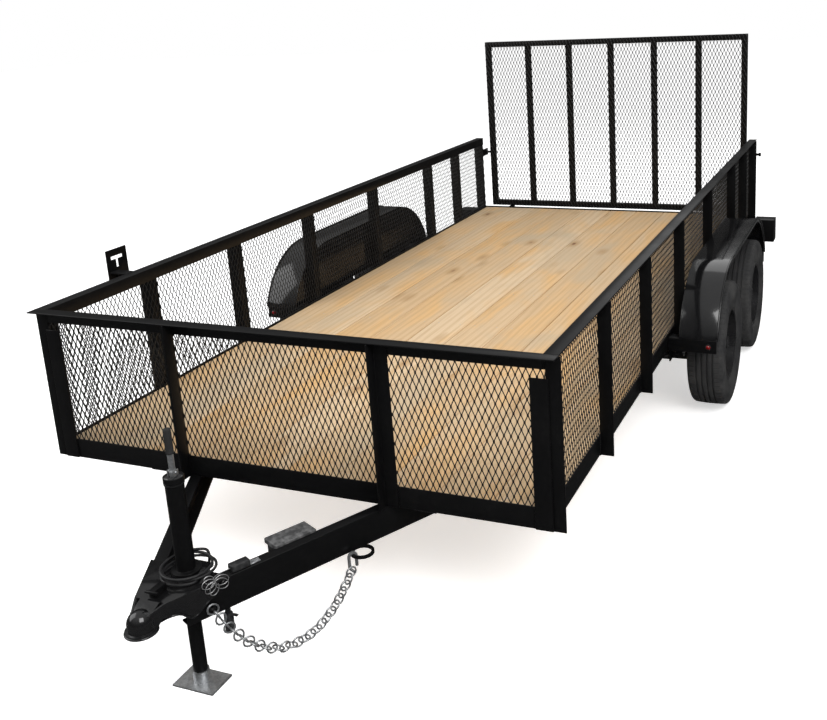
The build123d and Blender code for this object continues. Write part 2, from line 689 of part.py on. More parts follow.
def cord_bends(points):
    """Radius of each bend of a cord: a share of its shorter run, by how far it turns."""
    radii = []
    for before, at, after in zip(points, points[1:], points[2:]):
        half_turn = math.radians((at - before).get_angle(after - at)) / 2
        radii.append(CABLE_BEND_SHARE * min((at - before).length, (after - at).length) / math.tan(half_turn))
    return radii


def cord(points, radius):
    """Tube along straight runs and the arcs between them."""
    bends = cord_bends(points)
    print("cord bends", [round(bend, 1) for bend in bends])
    with BuildLine() as path:
        FilletPolyline(*points, radius=bends)
    with BuildSketch(Plane(points[0], z_dir=points[1] - points[0])) as section:
        Circle(radius)
    sweep(section.sketch, path=path.line)


cable_start = Vector(COIL_X, COIL_Y + COIL_OUTSIDE - CABLE_R - CABLE_EDGE, PLATE_TOP)
cable_points = [cable_start, *(cable_start + Vector(*step) for step in CABLE_RUN)]
with BuildPart() as harness_cable:
    cord(cable_points, CABLE_R)
keep(harness_cable, "harness_cable")

with BuildPart() as harness_plug:
    end = cable_points[-1]
    rod_z(end.X, end.Y, (end.Z - PLUG_NECK, end.Z), PLUG_NECK_R)
    rod_z(end.X, end.Y, (end.Z - PLUG_NECK - PLUG_LENGTH, end.Z - PLUG_NECK), PLUG_R)
    tab_z = end.Z - PLUG_NECK
    block(
        (end.X, end.X + PLUG_R + PLUG_TAB),
        (end.Y - PLUG_TAB_WIDTH / 2, end.Y + PLUG_TAB_WIDTH / 2),
        (tab_z - PLUG_TAB_THICKNESS, tab_z),
    )
keep(harness_plug, "harness_plug")

# Breakaway lanyard
SWITCH = beside_tongue(SWITCH_AHEAD, TONGUE_TOP)
lanyard_start = Vector(-SWITCH_LENGTH / 2, TONGUE_FLANGE / 2, SWITCH_HEIGHT / 2)
lanyard_places = [lanyard_start, *(lanyard_start + Vector(*step) for step in LANYARD_RUN)]
with BuildPart() as lanyard:
    cord([Vector(*SWITCH.from_local_coords(place)) for place in lanyard_places], LANYARD_R)
keep(lanyard, "lanyard")

with BuildPart() as lanyard_bow:
    knot = SWITCH.from_local_coords(lanyard_places[-1])
    with BuildSketch(Plane(knot, x_dir=SWITCH.x_dir, z_dir=-SWITCH.y_dir)):
        Circle(BOW_KNOT_R)
        for along, up, radius in BOW_LOBES:
            with Locations((along, up)):
                Circle(radius)
    extrude(amount=BOW_THICKNESS)
keep(lanyard_bow, "lanyard_bow")

# Spare wheel carrier on an arm from the first left post
with BuildPart() as spare_carrier:
    arm_y = SIDE_POST_Y[1]
    plate_x = -POST_X - CARRIER_REACH
    arm_top = POST_TOP - CARRIER_ARM_GAP
    block((-RAIL_X, plate_x), (arm_y - CARRIER_WALL, arm_y), (arm_top - CARRIER_ARM, arm_top))
    block((-POST_X, plate_x), (arm_y - CARRIER_ARM, arm_y), (arm_top - CARRIER_WALL, arm_top))
    block(
        (plate_x - CARRIER_WALL, plate_x),
        (arm_y - CARRIER_PLATE / 2, arm_y + CARRIER_PLATE / 2),
        (arm_top - CARRIER_ARM, WALL_TOP + CARRIER_RISE),
    )
    slot_z = WALL_TOP + CARRIER_RISE - CARRIER_SLOT_DOWN
    block(
        (plate_x - CARRIER_WALL, plate_x),
        (arm_y - CARRIER_SLOT_LENGTH / 2, arm_y + CARRIER_SLOT_LENGTH / 2),
        (slot_z - CARRIER_SLOT, slot_z),
        Mode.SUBTRACT,
    )
    block(
        (plate_x - CARRIER_WALL, plate_x),
        (arm_y - CARRIER_SLOT / 2, arm_y + CARRIER_SLOT / 2),
        (slot_z - CARRIER_SLOT_DROP, slot_z),
        Mode.SUBTRACT,
    )
keep(spare_carrier, "spare_carrier")

# Fenders: one sheet over both wheels, a lip along its outer edge, a sheet behind it
FENDER_R = FENDER_TOP - TYRE_R
END_RISE = FENDER_END_Z - TYRE_R


def fender_edge(radius):
    """Draw the fender's line over both wheels at one radius; gives its two end points."""
    low = math.degrees(math.asin(END_RISE / radius))
    CenterArc((AXLE_Y["front"], TYRE_R), radius, 90, 90 - low)
    Line((AXLE_Y["front"], TYRE_R + radius), (AXLE_Y["rear"], TYRE_R + radius))
    CenterArc((AXLE_Y["rear"], TYRE_R), radius, low, 90 - low)
    spread = radius * math.cos(math.radians(low))
    return (AXLE_Y["front"] - spread, FENDER_END_Z), (AXLE_Y["rear"] + spread, FENDER_END_Z)


def fender_band(x, depth):
    """Sketch of a band of the fender's line, its top edge outside, on the plane at x."""
    with BuildSketch(Plane.YZ.offset(x)) as band:
        with BuildLine():
            outside = fender_edge(FENDER_R)
            if depth:
                inside = fender_edge(FENDER_R - depth)
                Line(outside[0], inside[0])
                Line(outside[1], inside[1])
            else:
                Line(*outside)
        make_face()
    return band.sketch


FENDER_FRONT = AXLE_Y["front"] - math.sqrt(FENDER_R**2 - END_RISE**2)
FENDER_REAR = AXLE_Y["rear"] + math.sqrt(FENDER_R**2 - END_RISE**2)
FENDER_OUT = POST_X + FENDER_WIDTH
for side, s in SIDES.items():
    with BuildPart() as fender:
        extrude(fender_band(s * POST_X, FENDER_SHEET), amount=s * FENDER_WIDTH)
        extrude(fender_band(s * (FENDER_OUT - FENDER_SHEET), FENDER_LIP), amount=s * FENDER_SHEET)
        extrude(fender_band(s * POST_X, 0), amount=s * FENDER_SHEET)
    keep(fender, f"fender_{side}")

with BuildPart() as fender_brackets:
    for s in SIDES.values():
        for end, inward in ((FENDER_FRONT, 1), (FENDER_REAR, -1)):
            out = s * (FENDER_OUT - FENDER_SHEET)
            bottom = FENDER_END_Z - BRACKET_LEG
            flat = (FENDER_END_Z - BRACKET_WALL, FENDER_END_Z)
            block((s * RAIL_X, out), (end, end + inward * BRACKET_WALL), (bottom, FENDER_END_Z))
            block((s * RAIL_X, out), (end, end + inward * BRACKET_LEG), flat)
keep(fender_brackets, "fender_brackets")

with BuildPart() as marker_lamps:
    for s in SIDES.values():
        lamp_x = s * (FENDER_OUT - MARKER_INSET)
        with BuildSketch(Plane((lamp_x, FENDER_FRONT, FENDER_END_Z - BRACKET_LEG / 2), z_dir=(0, -1, 0))):
            Circle(MARKER_R)
        extrude(amount=MARKER_DEPTH)
keep(marker_lamps, "marker_lamps")

with BuildPart() as tail_boxes:
    for s in SIDES.values():
        x = (s * POST_X, s * (POST_X + TAIL_BOX_WIDTH))
        inner = (s * (POST_X + TAIL_BOX_WALL), s * (POST_X + TAIL_BOX_WIDTH - TAIL_BOX_WALL))
        z = (TAIL_BOX_TOP - TAIL_BOX_HEIGHT, TAIL_BOX_TOP)
        block(x, (REAR - TAIL_BOX_DEPTH, REAR), z)
        block(
            inner,
            (REAR - TAIL_BOX_DEPTH + TAIL_BOX_WALL, REAR),
            (z[0] + TAIL_BOX_WALL, z[1] - TAIL_BOX_WALL),
            Mode.SUBTRACT,
        )
keep(tail_boxes, "tail_boxes")

with BuildPart() as tail_lamps:
    for s in SIDES.values():
        centre_x = s * (POST_X + TAIL_BOX_WIDTH / 2)
        seat_y = REAR - TAIL_BOX_DEPTH + TAIL_BOX_WALL
        with BuildSketch(Plane((centre_x, seat_y, TAIL_BOX_TOP - TAIL_BOX_HEIGHT / 2), z_dir=(0, 1, 0))):
            Circle(TAIL_LAMP_R)
        extrude(amount=TAIL_LAMP_DEPTH)
keep(tail_lamps, "tail_lamps")

# Running gear: drop axles, leaf springs, hangers and the equalisers between the springs
BEAM_Z = TYRE_R - AXLE_DROP
ARM_X = SPRING_X + AXLE_ARM_GAP
for place, y in AXLE_Y.items():
    with BuildPart() as axle:
        rod_x((-ARM_X, ARM_X), y, BEAM_Z, AXLE_R)
        for s in SIDES.values():
            arm = (s * ARM_X, s * (ARM_X + AXLE_ARM))
            block(arm, (y - AXLE_R, y + AXLE_R), (BEAM_Z - AXLE_R, TYRE_R + AXLE_R))
            rod_x((s * (ARM_X + AXLE_ARM), s * (WHEEL_X + SPINDLE_OUT)), y, TYRE_R, SPINDLE_R)
            rod_x((s * (ARM_X + AXLE_ARM), s * BACKING_X), y, TYRE_R, HUB_CAP_R)
            rod_x((s * (BACKING_X - BACKING_PLATE), s * BACKING_X), y, TYRE_R, DRUM_R)
            pad = (s * (SPRING_X - SPRING_WIDTH / 2), s * (SPRING_X + SPRING_WIDTH / 2))
            block(pad, (y - AXLE_R, y + AXLE_R), (BEAM_Z, BEAM_Z + AXLE_R + SPRING_SEAT))
    keep(axle, f"axle_{place}")

LEAF_TOP = BEAM_Z + AXLE_R + SPRING_SEAT + LEAF_THICKNESS * len(LEAF_SHARES)
CAMBER = SPRING_EYE_Z - LEAF_TOP + LEAF_THICKNESS / 2
LEAF_R = ((SPRING_SPAN / 2) ** 2 + CAMBER**2) / (2 * CAMBER)
LEAF_SWEEP = math.degrees(math.asin(SPRING_SPAN / 2 / LEAF_R))
LEAF_CENTRE_Z = LEAF_TOP - LEAF_THICKNESS / 2 + LEAF_R


def leaf_face(y, place, share):
    """Sketch of one leaf below the main leaf by its place in the pack, in the YZ plane."""
    inside = LEAF_R - LEAF_THICKNESS / 2 + place * LEAF_THICKNESS
    outside = inside + LEAF_THICKNESS
    sweep = LEAF_SWEEP * share
    with BuildSketch(Plane.YZ) as leaf:
        with BuildLine():
            lower = CenterArc((y, LEAF_CENTRE_Z), outside, 270 - sweep, 2 * sweep)
            upper = CenterArc((y, LEAF_CENTRE_Z), inside, 270 - sweep, 2 * sweep)
            Line(lower @ 0, upper @ 0)
            Line(lower @ 1, upper @ 1)
        make_face()
    return leaf.sketch


with BuildPart() as leaf_springs:
    for s in SIDES.values():
        for y in AXLE_Y.values():
            near = s * SPRING_X - SPRING_WIDTH / 2
            far = s * SPRING_X + SPRING_WIDTH / 2
            for place, share in enumerate(LEAF_SHARES):
                extrude(leaf_face(y, place, share).moved(Location((near, 0, 0))), amount=SPRING_WIDTH)
            for eye_y in (y - SPRING_SPAN / 2, y + SPRING_SPAN / 2):
                rod_x((near, far), eye_y, SPRING_EYE_Z, EYE_R)
                rod_x((near, far), eye_y, SPRING_EYE_Z, BOLT_R + BOLT_CLEARANCE, Mode.SUBTRACT)
keep(leaf_springs, "leaf_springs")

EQUALISER_SPAN = AXLE_SPACING - SPRING_SPAN
EQUALISER_ENDS = (MIDDLE_Y - EQUALISER_SPAN / 2, MIDDLE_Y + EQUALISER_SPAN / 2)
INNER_PLATE = SPRING_WIDTH / 2 + HANGER_SIDE_GAP
OUTER_PLATE = INNER_PLATE + HANGER_PLATE + HANGER_SIDE_GAP
with BuildPart() as spring_hangers:
    for s in SIDES.values():
        stations = (
            (AXLE_Y["front"] - SPRING_SPAN / 2, INNER_PLATE, SPRING_EYE_Z),
            (MIDDLE_Y, OUTER_PLATE, SPRING_EYE_Z),
            (AXLE_Y["rear"] + SPRING_SPAN / 2, INNER_PLATE, SPRING_EYE_Z),
        )
        for y, half, bolt_z in stations:
            span = (s * SPRING_X - half - HANGER_PLATE, s * SPRING_X + half + HANGER_PLATE)
            depth = (y - HANGER_DEPTH / 2, y + HANGER_DEPTH / 2)
            block(span, depth, (bolt_z - EYE_R, FRAME_BOTTOM))
            block(
                (s * SPRING_X - half, s * SPRING_X + half),
                depth,
                (bolt_z - EYE_R, FRAME_BOTTOM - HANGER_PLATE),
                Mode.SUBTRACT,
            )
            rod_x(span, y, bolt_z, BOLT_R)
keep(spring_hangers, "spring_hangers")

with BuildPart() as equalisers:
    for s in SIDES.values():
        for offset in (-INNER_PLATE - HANGER_PLATE, INNER_PLATE):
            with BuildSketch(Plane.YZ.offset(s * SPRING_X + offset)):
                with Locations(*((y, SPRING_EYE_Z) for y in EQUALISER_ENDS)):
                    Circle(EYE_R)
                make_hull()
                with Locations((MIDDLE_Y, SPRING_EYE_Z)):
                    Circle(BOLT_R + BOLT_CLEARANCE, mode=Mode.SUBTRACT)
            extrude(amount=HANGER_PLATE)
        for y in EQUALISER_ENDS:
            rod_x((s * SPRING_X - INNER_PLATE, s * SPRING_X + INNER_PLATE), y, SPRING_EYE_Z, BOLT_R)
keep(equalisers, "equalisers")

CLAMP_HALF_X = SPRING_WIDTH / 2 + 2 * CLAMP_ROD_R + CLAMP_GAP
CLAMP_HALF_Y = AXLE_R + 2 * CLAMP_ROD_R + CLAMP_GAP
CLAMP_Z = LEAF_CENTRE_Z - math.sqrt((LEAF_R - LEAF_THICKNESS / 2) ** 2 - CLAMP_HALF_Y**2)
with BuildPart() as spring_clamps:
    for s in SIDES.values():
        for y in AXLE_Y.values():
            block(
                (s * SPRING_X - CLAMP_HALF_X, s * SPRING_X + CLAMP_HALF_X),
                (y - CLAMP_HALF_Y, y + CLAMP_HALF_Y),
                (CLAMP_Z, CLAMP_Z + CLAMP_PLATE),
            )
            for rod in (-1, 1):
                for end in (-1, 1):
                    rod_z(
                        s * SPRING_X + rod * (SPRING_WIDTH / 2 + CLAMP_ROD_R + CLAMP_GAP),
                        y + end * (AXLE_R + CLAMP_ROD_R + CLAMP_GAP),
                        (BEAM_Z, CLAMP_Z),
                        CLAMP_ROD_R,
                    )
keep(spring_clamps, "spring_clamps")

# Wheels
HALF_TYRE = TYRE_WIDTH / 2
HALF_RIM = HALF_TYRE - TYRE_BULGE
for place, y in AXLE_Y.items():
    for side, s in SIDES.items():
        spin = Axis((0, y, TYRE_R), (1, 0, 0))
        section = Plane((s * WHEEL_X, y, TYRE_R), x_dir=(s, 0, 0), z_dir=(0, -s, 0))
        with BuildPart() as tyre:
            with BuildSketch(section):
                with BuildLine():
                    Polyline(
                        (-HALF_RIM, RIM_R),
                        (-HALF_RIM, RIM_R + RIM_FLANGE),
                        (-HALF_TYRE, RIM_R + TYRE_BELLY),
                        (-HALF_TYRE, TYRE_R - TYRE_BELLY),
                        (-TREAD_HALF - SHOULDER_OUT, TYRE_R - SHOULDER_DOWN),
                        (-TREAD_HALF, TYRE_R),
                        (TREAD_HALF, TYRE_R),
                        (TREAD_HALF + SHOULDER_OUT, TYRE_R - SHOULDER_DOWN),
                        (HALF_TYRE, TYRE_R - TYRE_BELLY),
                        (HALF_TYRE, RIM_R + TYRE_BELLY),
                        (HALF_RIM, RIM_R + RIM_FLANGE),
                        (HALF_RIM, RIM_R),
                        close=True,
                    )
                make_face()
            revolve(axis=spin)
        keep(tyre, f"tyre_{place}_{side}")

        with BuildPart() as rim:
            with BuildSketch(section):
                with BuildLine():
                    Polyline(
                        (-HALF_RIM - RIM_WALL, RIM_R + RIM_FLANGE),
                        (-HALF_RIM, RIM_R + RIM_FLANGE),
                        (-HALF_RIM, RIM_R - RIM_SEAT_GAP),
                        (HALF_RIM, RIM_R - RIM_SEAT_GAP),
                        (HALF_RIM, RIM_R + RIM_FLANGE),
                        (HALF_RIM + RIM_WALL, RIM_R + RIM_FLANGE),
                        (HALF_RIM + RIM_WALL, RIM_R - RIM_WALL),
                        (RIM_WALL, RIM_R - RIM_WALL),
                        (RIM_WALL, HUB_CAP_R),
                        (HUB_CAP_OUT, HUB_CAP_R),
                        (HUB_CAP_OUT, 0),
                        (SPINDLE_OUT + RIM_WALL, 0),
                        (SPINDLE_OUT + RIM_WALL, SPINDLE_R + SPINDLE_CLEARANCE),
                        (-DRUM_BACK, SPINDLE_R + SPINDLE_CLEARANCE),
                        (-DRUM_BACK, DRUM_R),
                        (-DRUM_BACK + DRUM_WIDTH, DRUM_R),
                        (-DRUM_BACK + DRUM_WIDTH, HUB_R),
                        (0, HUB_R),
                        (0, RIM_R - RIM_WALL),
                        (-HALF_RIM - RIM_WALL, RIM_R - RIM_WALL),
                        close=True,
                    )
                make_face()
            revolve(axis=spin)
        keep(rim, f"rim_{place}_{side}")

# Ramp gate: welded frame, mesh on the side that is driven on, lugs on the hinge pins
GATE_FRONT = REAR + GATE_GAP
GATE_BACK = GATE_FRONT + GATE_BAR
GATE_TOP = GATE_BOTTOM + GATE_HEIGHT
HINGE_Y = GATE_FRONT + GATE_BAR / 2 + HINGE_BACK
with BuildPart() as gate_frame:
    for z in (GATE_BOTTOM, GATE_TOP - GATE_BAR):
        block((-GATE_X, GATE_X), (GATE_FRONT, GATE_BACK), (z, z + GATE_BAR))
    bay = (2 * GATE_X - GATE_BAR) / (GATE_UPRIGHTS + 1)
    for number in range(GATE_UPRIGHTS + 2):
        x = -GATE_X + number * bay
        block((x, x + GATE_BAR), (GATE_FRONT, GATE_BACK), (GATE_BOTTOM, GATE_TOP))
keep(gate_frame, "gate_frame")

with BuildPart() as gate_mesh:
    gate_face = Plane((0, GATE_FRONT, (GATE_BOTTOM + GATE_TOP) / 2), x_dir=(1, 0, 0), z_dir=(0, -1, 0))
    extrude(open_sheet(gate_face, 2 * GATE_X, GATE_HEIGHT, GATE_MESH_ROWS), amount=MESH_THICKNESS)
keep(gate_mesh, "gate_mesh")

with BuildPart() as gate_lugs:
    for s in SIDES.values():
        with BuildSketch(Plane.YZ.offset(s * HINGE_X - HINGE_PLATE / 2)):
            with Locations((HINGE_Y, HINGE_Z)):
                Circle(HINGE_LUG_R)
            with Locations((GATE_BACK - HINGE_PLATE / 2, GATE_BOTTOM - HINGE_PLATE / 2)):
                Rectangle(HINGE_PLATE, HINGE_PLATE)
            make_hull()
            with Locations((HINGE_Y, HINGE_Z)):
                Circle(HINGE_PIN_R + HINGE_CLEARANCE, mode=Mode.SUBTRACT)
        extrude(amount=HINGE_PLATE)
keep(gate_lugs, "gate_lugs")

with BuildPart() as gate_hinges:
    ear = HINGE_PLATE / 2 + HINGE_SIDE_GAP
    for s in SIDES.values():
        for offset in (-ear - HINGE_PLATE, ear):
            with BuildSketch(Plane.YZ.offset(s * HINGE_X + offset)):
                with Locations((HINGE_Y, HINGE_Z)):
                    Circle(HINGE_LUG_R)
                with Locations((REAR + HINGE_PLATE / 2, HINGE_Z)):
                    Rectangle(HINGE_PLATE, 2 * HINGE_LUG_R)
                make_hull()
            extrude(amount=HINGE_PLATE)
        pin = ear + HINGE_PLATE
        rod_x((s * HINGE_X - pin, s * HINGE_X + pin), HINGE_Y, HINGE_Z, HINGE_PIN_R)
keep(gate_hinges, "gate_hinges")

# Catches beside the gate: a bar on each rear post with a pin, clear of the gate as it swings
with BuildPart() as gate_catches:
    catch_z = DROP_Z - CATCH_DOWN
    pin_y = GATE_FRONT + GATE_BAR / 2
    for s in SIDES.values():
        post_face = RAIL_X + POST_WALL
        bar = (s * post_face, s * (post_face + CATCH_WALL))
        block(bar, (REAR - CATCH_LAP, REAR + CATCH_REACH), (catch_z, catch_z + CATCH_WIDTH))
        pin_end = post_face + CATCH_WALL + CATCH_PIN_OUT
        rod_x((s * (GATE_X + CATCH_PIN_GAP), s * pin_end), pin_y, catch_z + CATCH_WIDTH / 2, CATCH_PIN_R)
        rod_x((s * pin_end, s * (pin_end + CATCH_KNOB)), pin_y, catch_z + CATCH_WIDTH / 2, CATCH_KNOB_R)
keep(gate_catches, "gate_catches")
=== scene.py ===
"""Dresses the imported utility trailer: finishes, expanded metal, planks, tyres, chain and cords.

Metres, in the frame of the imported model: +X to the side named right, +Y from the tongue to the gate, +Z up.
"""

import json
import logging
import math
import random
from dataclasses import dataclass, field
from enum import Enum
from typing import Iterable, Sequence

import bmesh
import bpy
from mathutils import Matrix, Vector
from mathutils.bvhtree import BVHTree


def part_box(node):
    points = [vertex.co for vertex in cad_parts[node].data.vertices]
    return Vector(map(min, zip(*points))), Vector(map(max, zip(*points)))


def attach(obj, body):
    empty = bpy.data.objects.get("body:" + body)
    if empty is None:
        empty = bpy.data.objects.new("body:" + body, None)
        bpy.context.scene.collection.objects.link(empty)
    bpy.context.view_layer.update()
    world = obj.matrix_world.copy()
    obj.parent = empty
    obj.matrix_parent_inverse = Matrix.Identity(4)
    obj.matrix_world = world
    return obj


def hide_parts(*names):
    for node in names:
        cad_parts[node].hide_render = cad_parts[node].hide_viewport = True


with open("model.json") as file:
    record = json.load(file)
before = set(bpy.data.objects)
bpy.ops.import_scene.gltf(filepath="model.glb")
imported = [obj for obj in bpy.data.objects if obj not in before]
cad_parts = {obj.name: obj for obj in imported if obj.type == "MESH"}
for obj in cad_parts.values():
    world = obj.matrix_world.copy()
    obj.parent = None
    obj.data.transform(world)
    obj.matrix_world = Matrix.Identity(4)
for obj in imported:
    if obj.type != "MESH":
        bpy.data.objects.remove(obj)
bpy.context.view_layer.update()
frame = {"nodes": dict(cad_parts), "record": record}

LOG = logging.getLogger("trailer")
IMAGE_WIDTH = 827
MILLIMETRE = 0.001
JOIN_DISTANCE = 0.002 * MILLIMETRE
SHARP_TURN = math.radians(40.0)
CORD_BEVEL = 3
CORD_STEPS = 8
CORD_ORDER = 3
Colour = tuple[float, float, float]
Place = tuple[float, float, float]
Outline = tuple[tuple[float, float], ...]
Span = tuple[float, float, float, float]
NOISE_SPAN = (0.3, 0.7)


class Body(str, Enum):
    """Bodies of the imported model, apart from the wheels, that pieces ride on."""

    CHASSIS = "chassis"
    GATE = "ramp_gate"


class Side(Enum):
    """The trailer's two sides, with the sign of their X."""

    LEFT = -1
    RIGHT = 1

    @property
    def word(self) -> str:
        """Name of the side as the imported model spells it."""
        return self.name.lower()


class Facing(Enum):
    """Ways a flat panel stands, as Euler turns of a sheet drawn in the XY plane."""

    ACROSS = (math.pi / 2, 0.0, 0.0)
    ALONG = (math.pi / 2, 0.0, math.pi / 2)


class ShaderSketch:
    """Builds one material's nodes around its Principled shader."""

    def __init__(self, name: str) -> None:
        """Start a material.

        Args:
            name: The material's name.
        """
        self.material = bpy.data.materials.new(name)
        self.material.use_nodes = True
        self.tree = self.material.node_tree
        self.shader = self.tree.nodes["Principled BSDF"]
        self.place = self.node("ShaderNodeTexCoord").outputs["Object"]

    def node(self, kind: str, **settings: object) -> bpy.types.Node:
        """Add a node.

        Args:
            kind: Blender's name of the node's type.
            settings: Properties to set on it.

        Returns:
            The new node.
        """
        made = self.tree.nodes.new(kind)
        for key, value in settings.items():
            setattr(made, key, value)
        return made

    def feed(self, socket: bpy.types.NodeSocket, value: object) -> None:
        """Set a socket to a number or colour, or link an output to it."""
        if isinstance(value, bpy.types.NodeSocket):
            self.tree.links.new(value, socket)
        else:
            socket.default_value = value

    def set(self, **values: object) -> None:
        """Set or link inputs of the Principled shader by their names, with _ for spaces."""
        for key, value in values.items():
            self.feed(self.shader.inputs[key.replace("_", " ")], value)

    def stretched(self, scale: Sequence[float], source: object = None) -> bpy.types.NodeSocket:
        """Scale coordinates by three numbers.

        Args:
            scale: How many times the pattern repeats per metre along each axis.
            source: Coordinates to start from, the object's own by default.

        Returns:
            The scaled coordinates.
        """
        mapping = self.node("ShaderNodeMapping")
        self.feed(mapping.inputs["Vector"], source or self.place)
        mapping.inputs["Scale"].default_value = scale
        return mapping.outputs["Vector"]

    def noise(
        self, where: object, scale: float, detail: float, distortion: float = 0.0
    ) -> bpy.types.NodeSocket:
        """Cloudy noise from 0 to 1.

        Args:
            where: Coordinates.
            scale: Size of the pattern.
            detail: Octaves.
            distortion: Swirl.

        Returns:
            The noise value.
        """
        made = self.node("ShaderNodeTexNoise")
        self.feed(made.inputs["Vector"], where)
        made.inputs["Scale"].default_value = scale
        made.inputs["Detail"].default_value = detail
        made.inputs["Distortion"].default_value = distortion
        return made.outputs["Fac"]

    def cells(self, where: object, scale: float, feature: str = "F1") -> bpy.types.Node:
        """Voronoi cells.

        Args:
            where: Coordinates.
            scale: Cells per unit.
            feature: Blender's name of the feature.

        Returns:
            The texture node.
        """
        made = self.node("ShaderNodeTexVoronoi", feature=feature)
        self.feed(made.inputs["Vector"], where)
        made.inputs["Scale"].default_value = scale
        return made

    def sums(self, operation: str, *values: object) -> bpy.types.NodeSocket:
        """A Math node.

        Args:
            operation: Blender's name of the operation.
            values: Its numbers or links.

        Returns:
            The result.
        """
        made = self.node("ShaderNodeMath", operation=operation)
        for socket, value in zip(made.inputs, values):
            self.feed(socket, value)
        return made.outputs[0]

    def spread(
        self, value: object, low: float, high: float, to_low: float, to_high: float
    ) -> bpy.types.NodeSocket:
        """Map a value from one range to another, held at the ends.

        Args:
            value: What is mapped.
            low: Start of its range.
            high: End of its range.
            to_low: Result at the start.
            to_high: Result at the end.

        Returns:
            The mapped value.
        """
        made = self.node("ShaderNodeMapRange")
        for socket, number in zip(made.inputs, (value, low, high, to_low, to_high)):
            self.feed(socket, number)
        return made.outputs["Result"]

    def mix(self, share: object, first: object, second: object) -> bpy.types.NodeSocket:
        """Mix two colours.

        Args:
            share: How much of the second colour.
            first: Colour at 0.
            second: Colour at 1.

        Returns:
            The mixed colour.
        """
        made = self.node("ShaderNodeMix", data_type="RGBA")
        self.feed(made.inputs["Factor"], share)
        for name, colour in (("A", first), ("B", second)):
            socket = next(s for s in made.inputs if s.name == name and s.type == "RGBA")
            self.feed(socket, colour if isinstance(colour, bpy.types.NodeSocket) else (*colour, 1.0))
        return next(s for s in made.outputs if s.type == "RGBA")

    def bump(self, height: object, distance: float, strength: float = 1.0) -> None:
        """Let a height pattern tilt the surface.

        Args:
            height: Height from 0 to 1.
            distance: Height in metres at 1.
            strength: Share of the effect.
        """
        made = self.node("ShaderNodeBump")
        made.inputs["Strength"].default_value = strength
        made.inputs["Distance"].default_value = distance
        self.feed(made.inputs["Height"], height)
        self.feed(self.shader.inputs["Normal"], made.outputs["Normal"])


@dataclass(frozen=True)
class PaintFinish:
    """Sprayed paint: an orange-peel skin, a film of dust and a slightly uneven gloss."""

    name: str
    colour: Colour
    dust_colour: Colour
    dust: float
    gloss: tuple[float, float]
    specular: float
    coat: float = 0.0
    peel_scale: float = 420.0
    peel_height: float = 0.00012
    blotch_scale: float = 5.0
    film_scale: float = 70.0
    coat_roughness: float = 0.06
    dust_start: tuple[float, float] = (0.18, 0.42)

    def make(self) -> bpy.types.Material:
        """Build the paint's material."""
        sketch = ShaderSketch(self.name)
        blotch = sketch.noise(sketch.place, self.blotch_scale, detail=6.0, distortion=0.6)
        film = sketch.noise(sketch.place, self.film_scale, detail=5.0)
        dusty = sketch.spread(sketch.sums("MULTIPLY", blotch, film), *self.dust_start, 0.0, self.dust)
        sketch.set(
            Base_Color=sketch.mix(dusty, self.colour, self.dust_colour),
            Roughness=sketch.spread(blotch, *NOISE_SPAN, *self.gloss),
            Specular_IOR_Level=self.specular,
            Coat_Weight=self.coat,
            Coat_Roughness=self.coat_roughness,
        )
        peel = sketch.noise(sketch.place, self.peel_scale, detail=2.0)
        sketch.bump(peel, self.peel_height, strength=0.35)
        return sketch.material


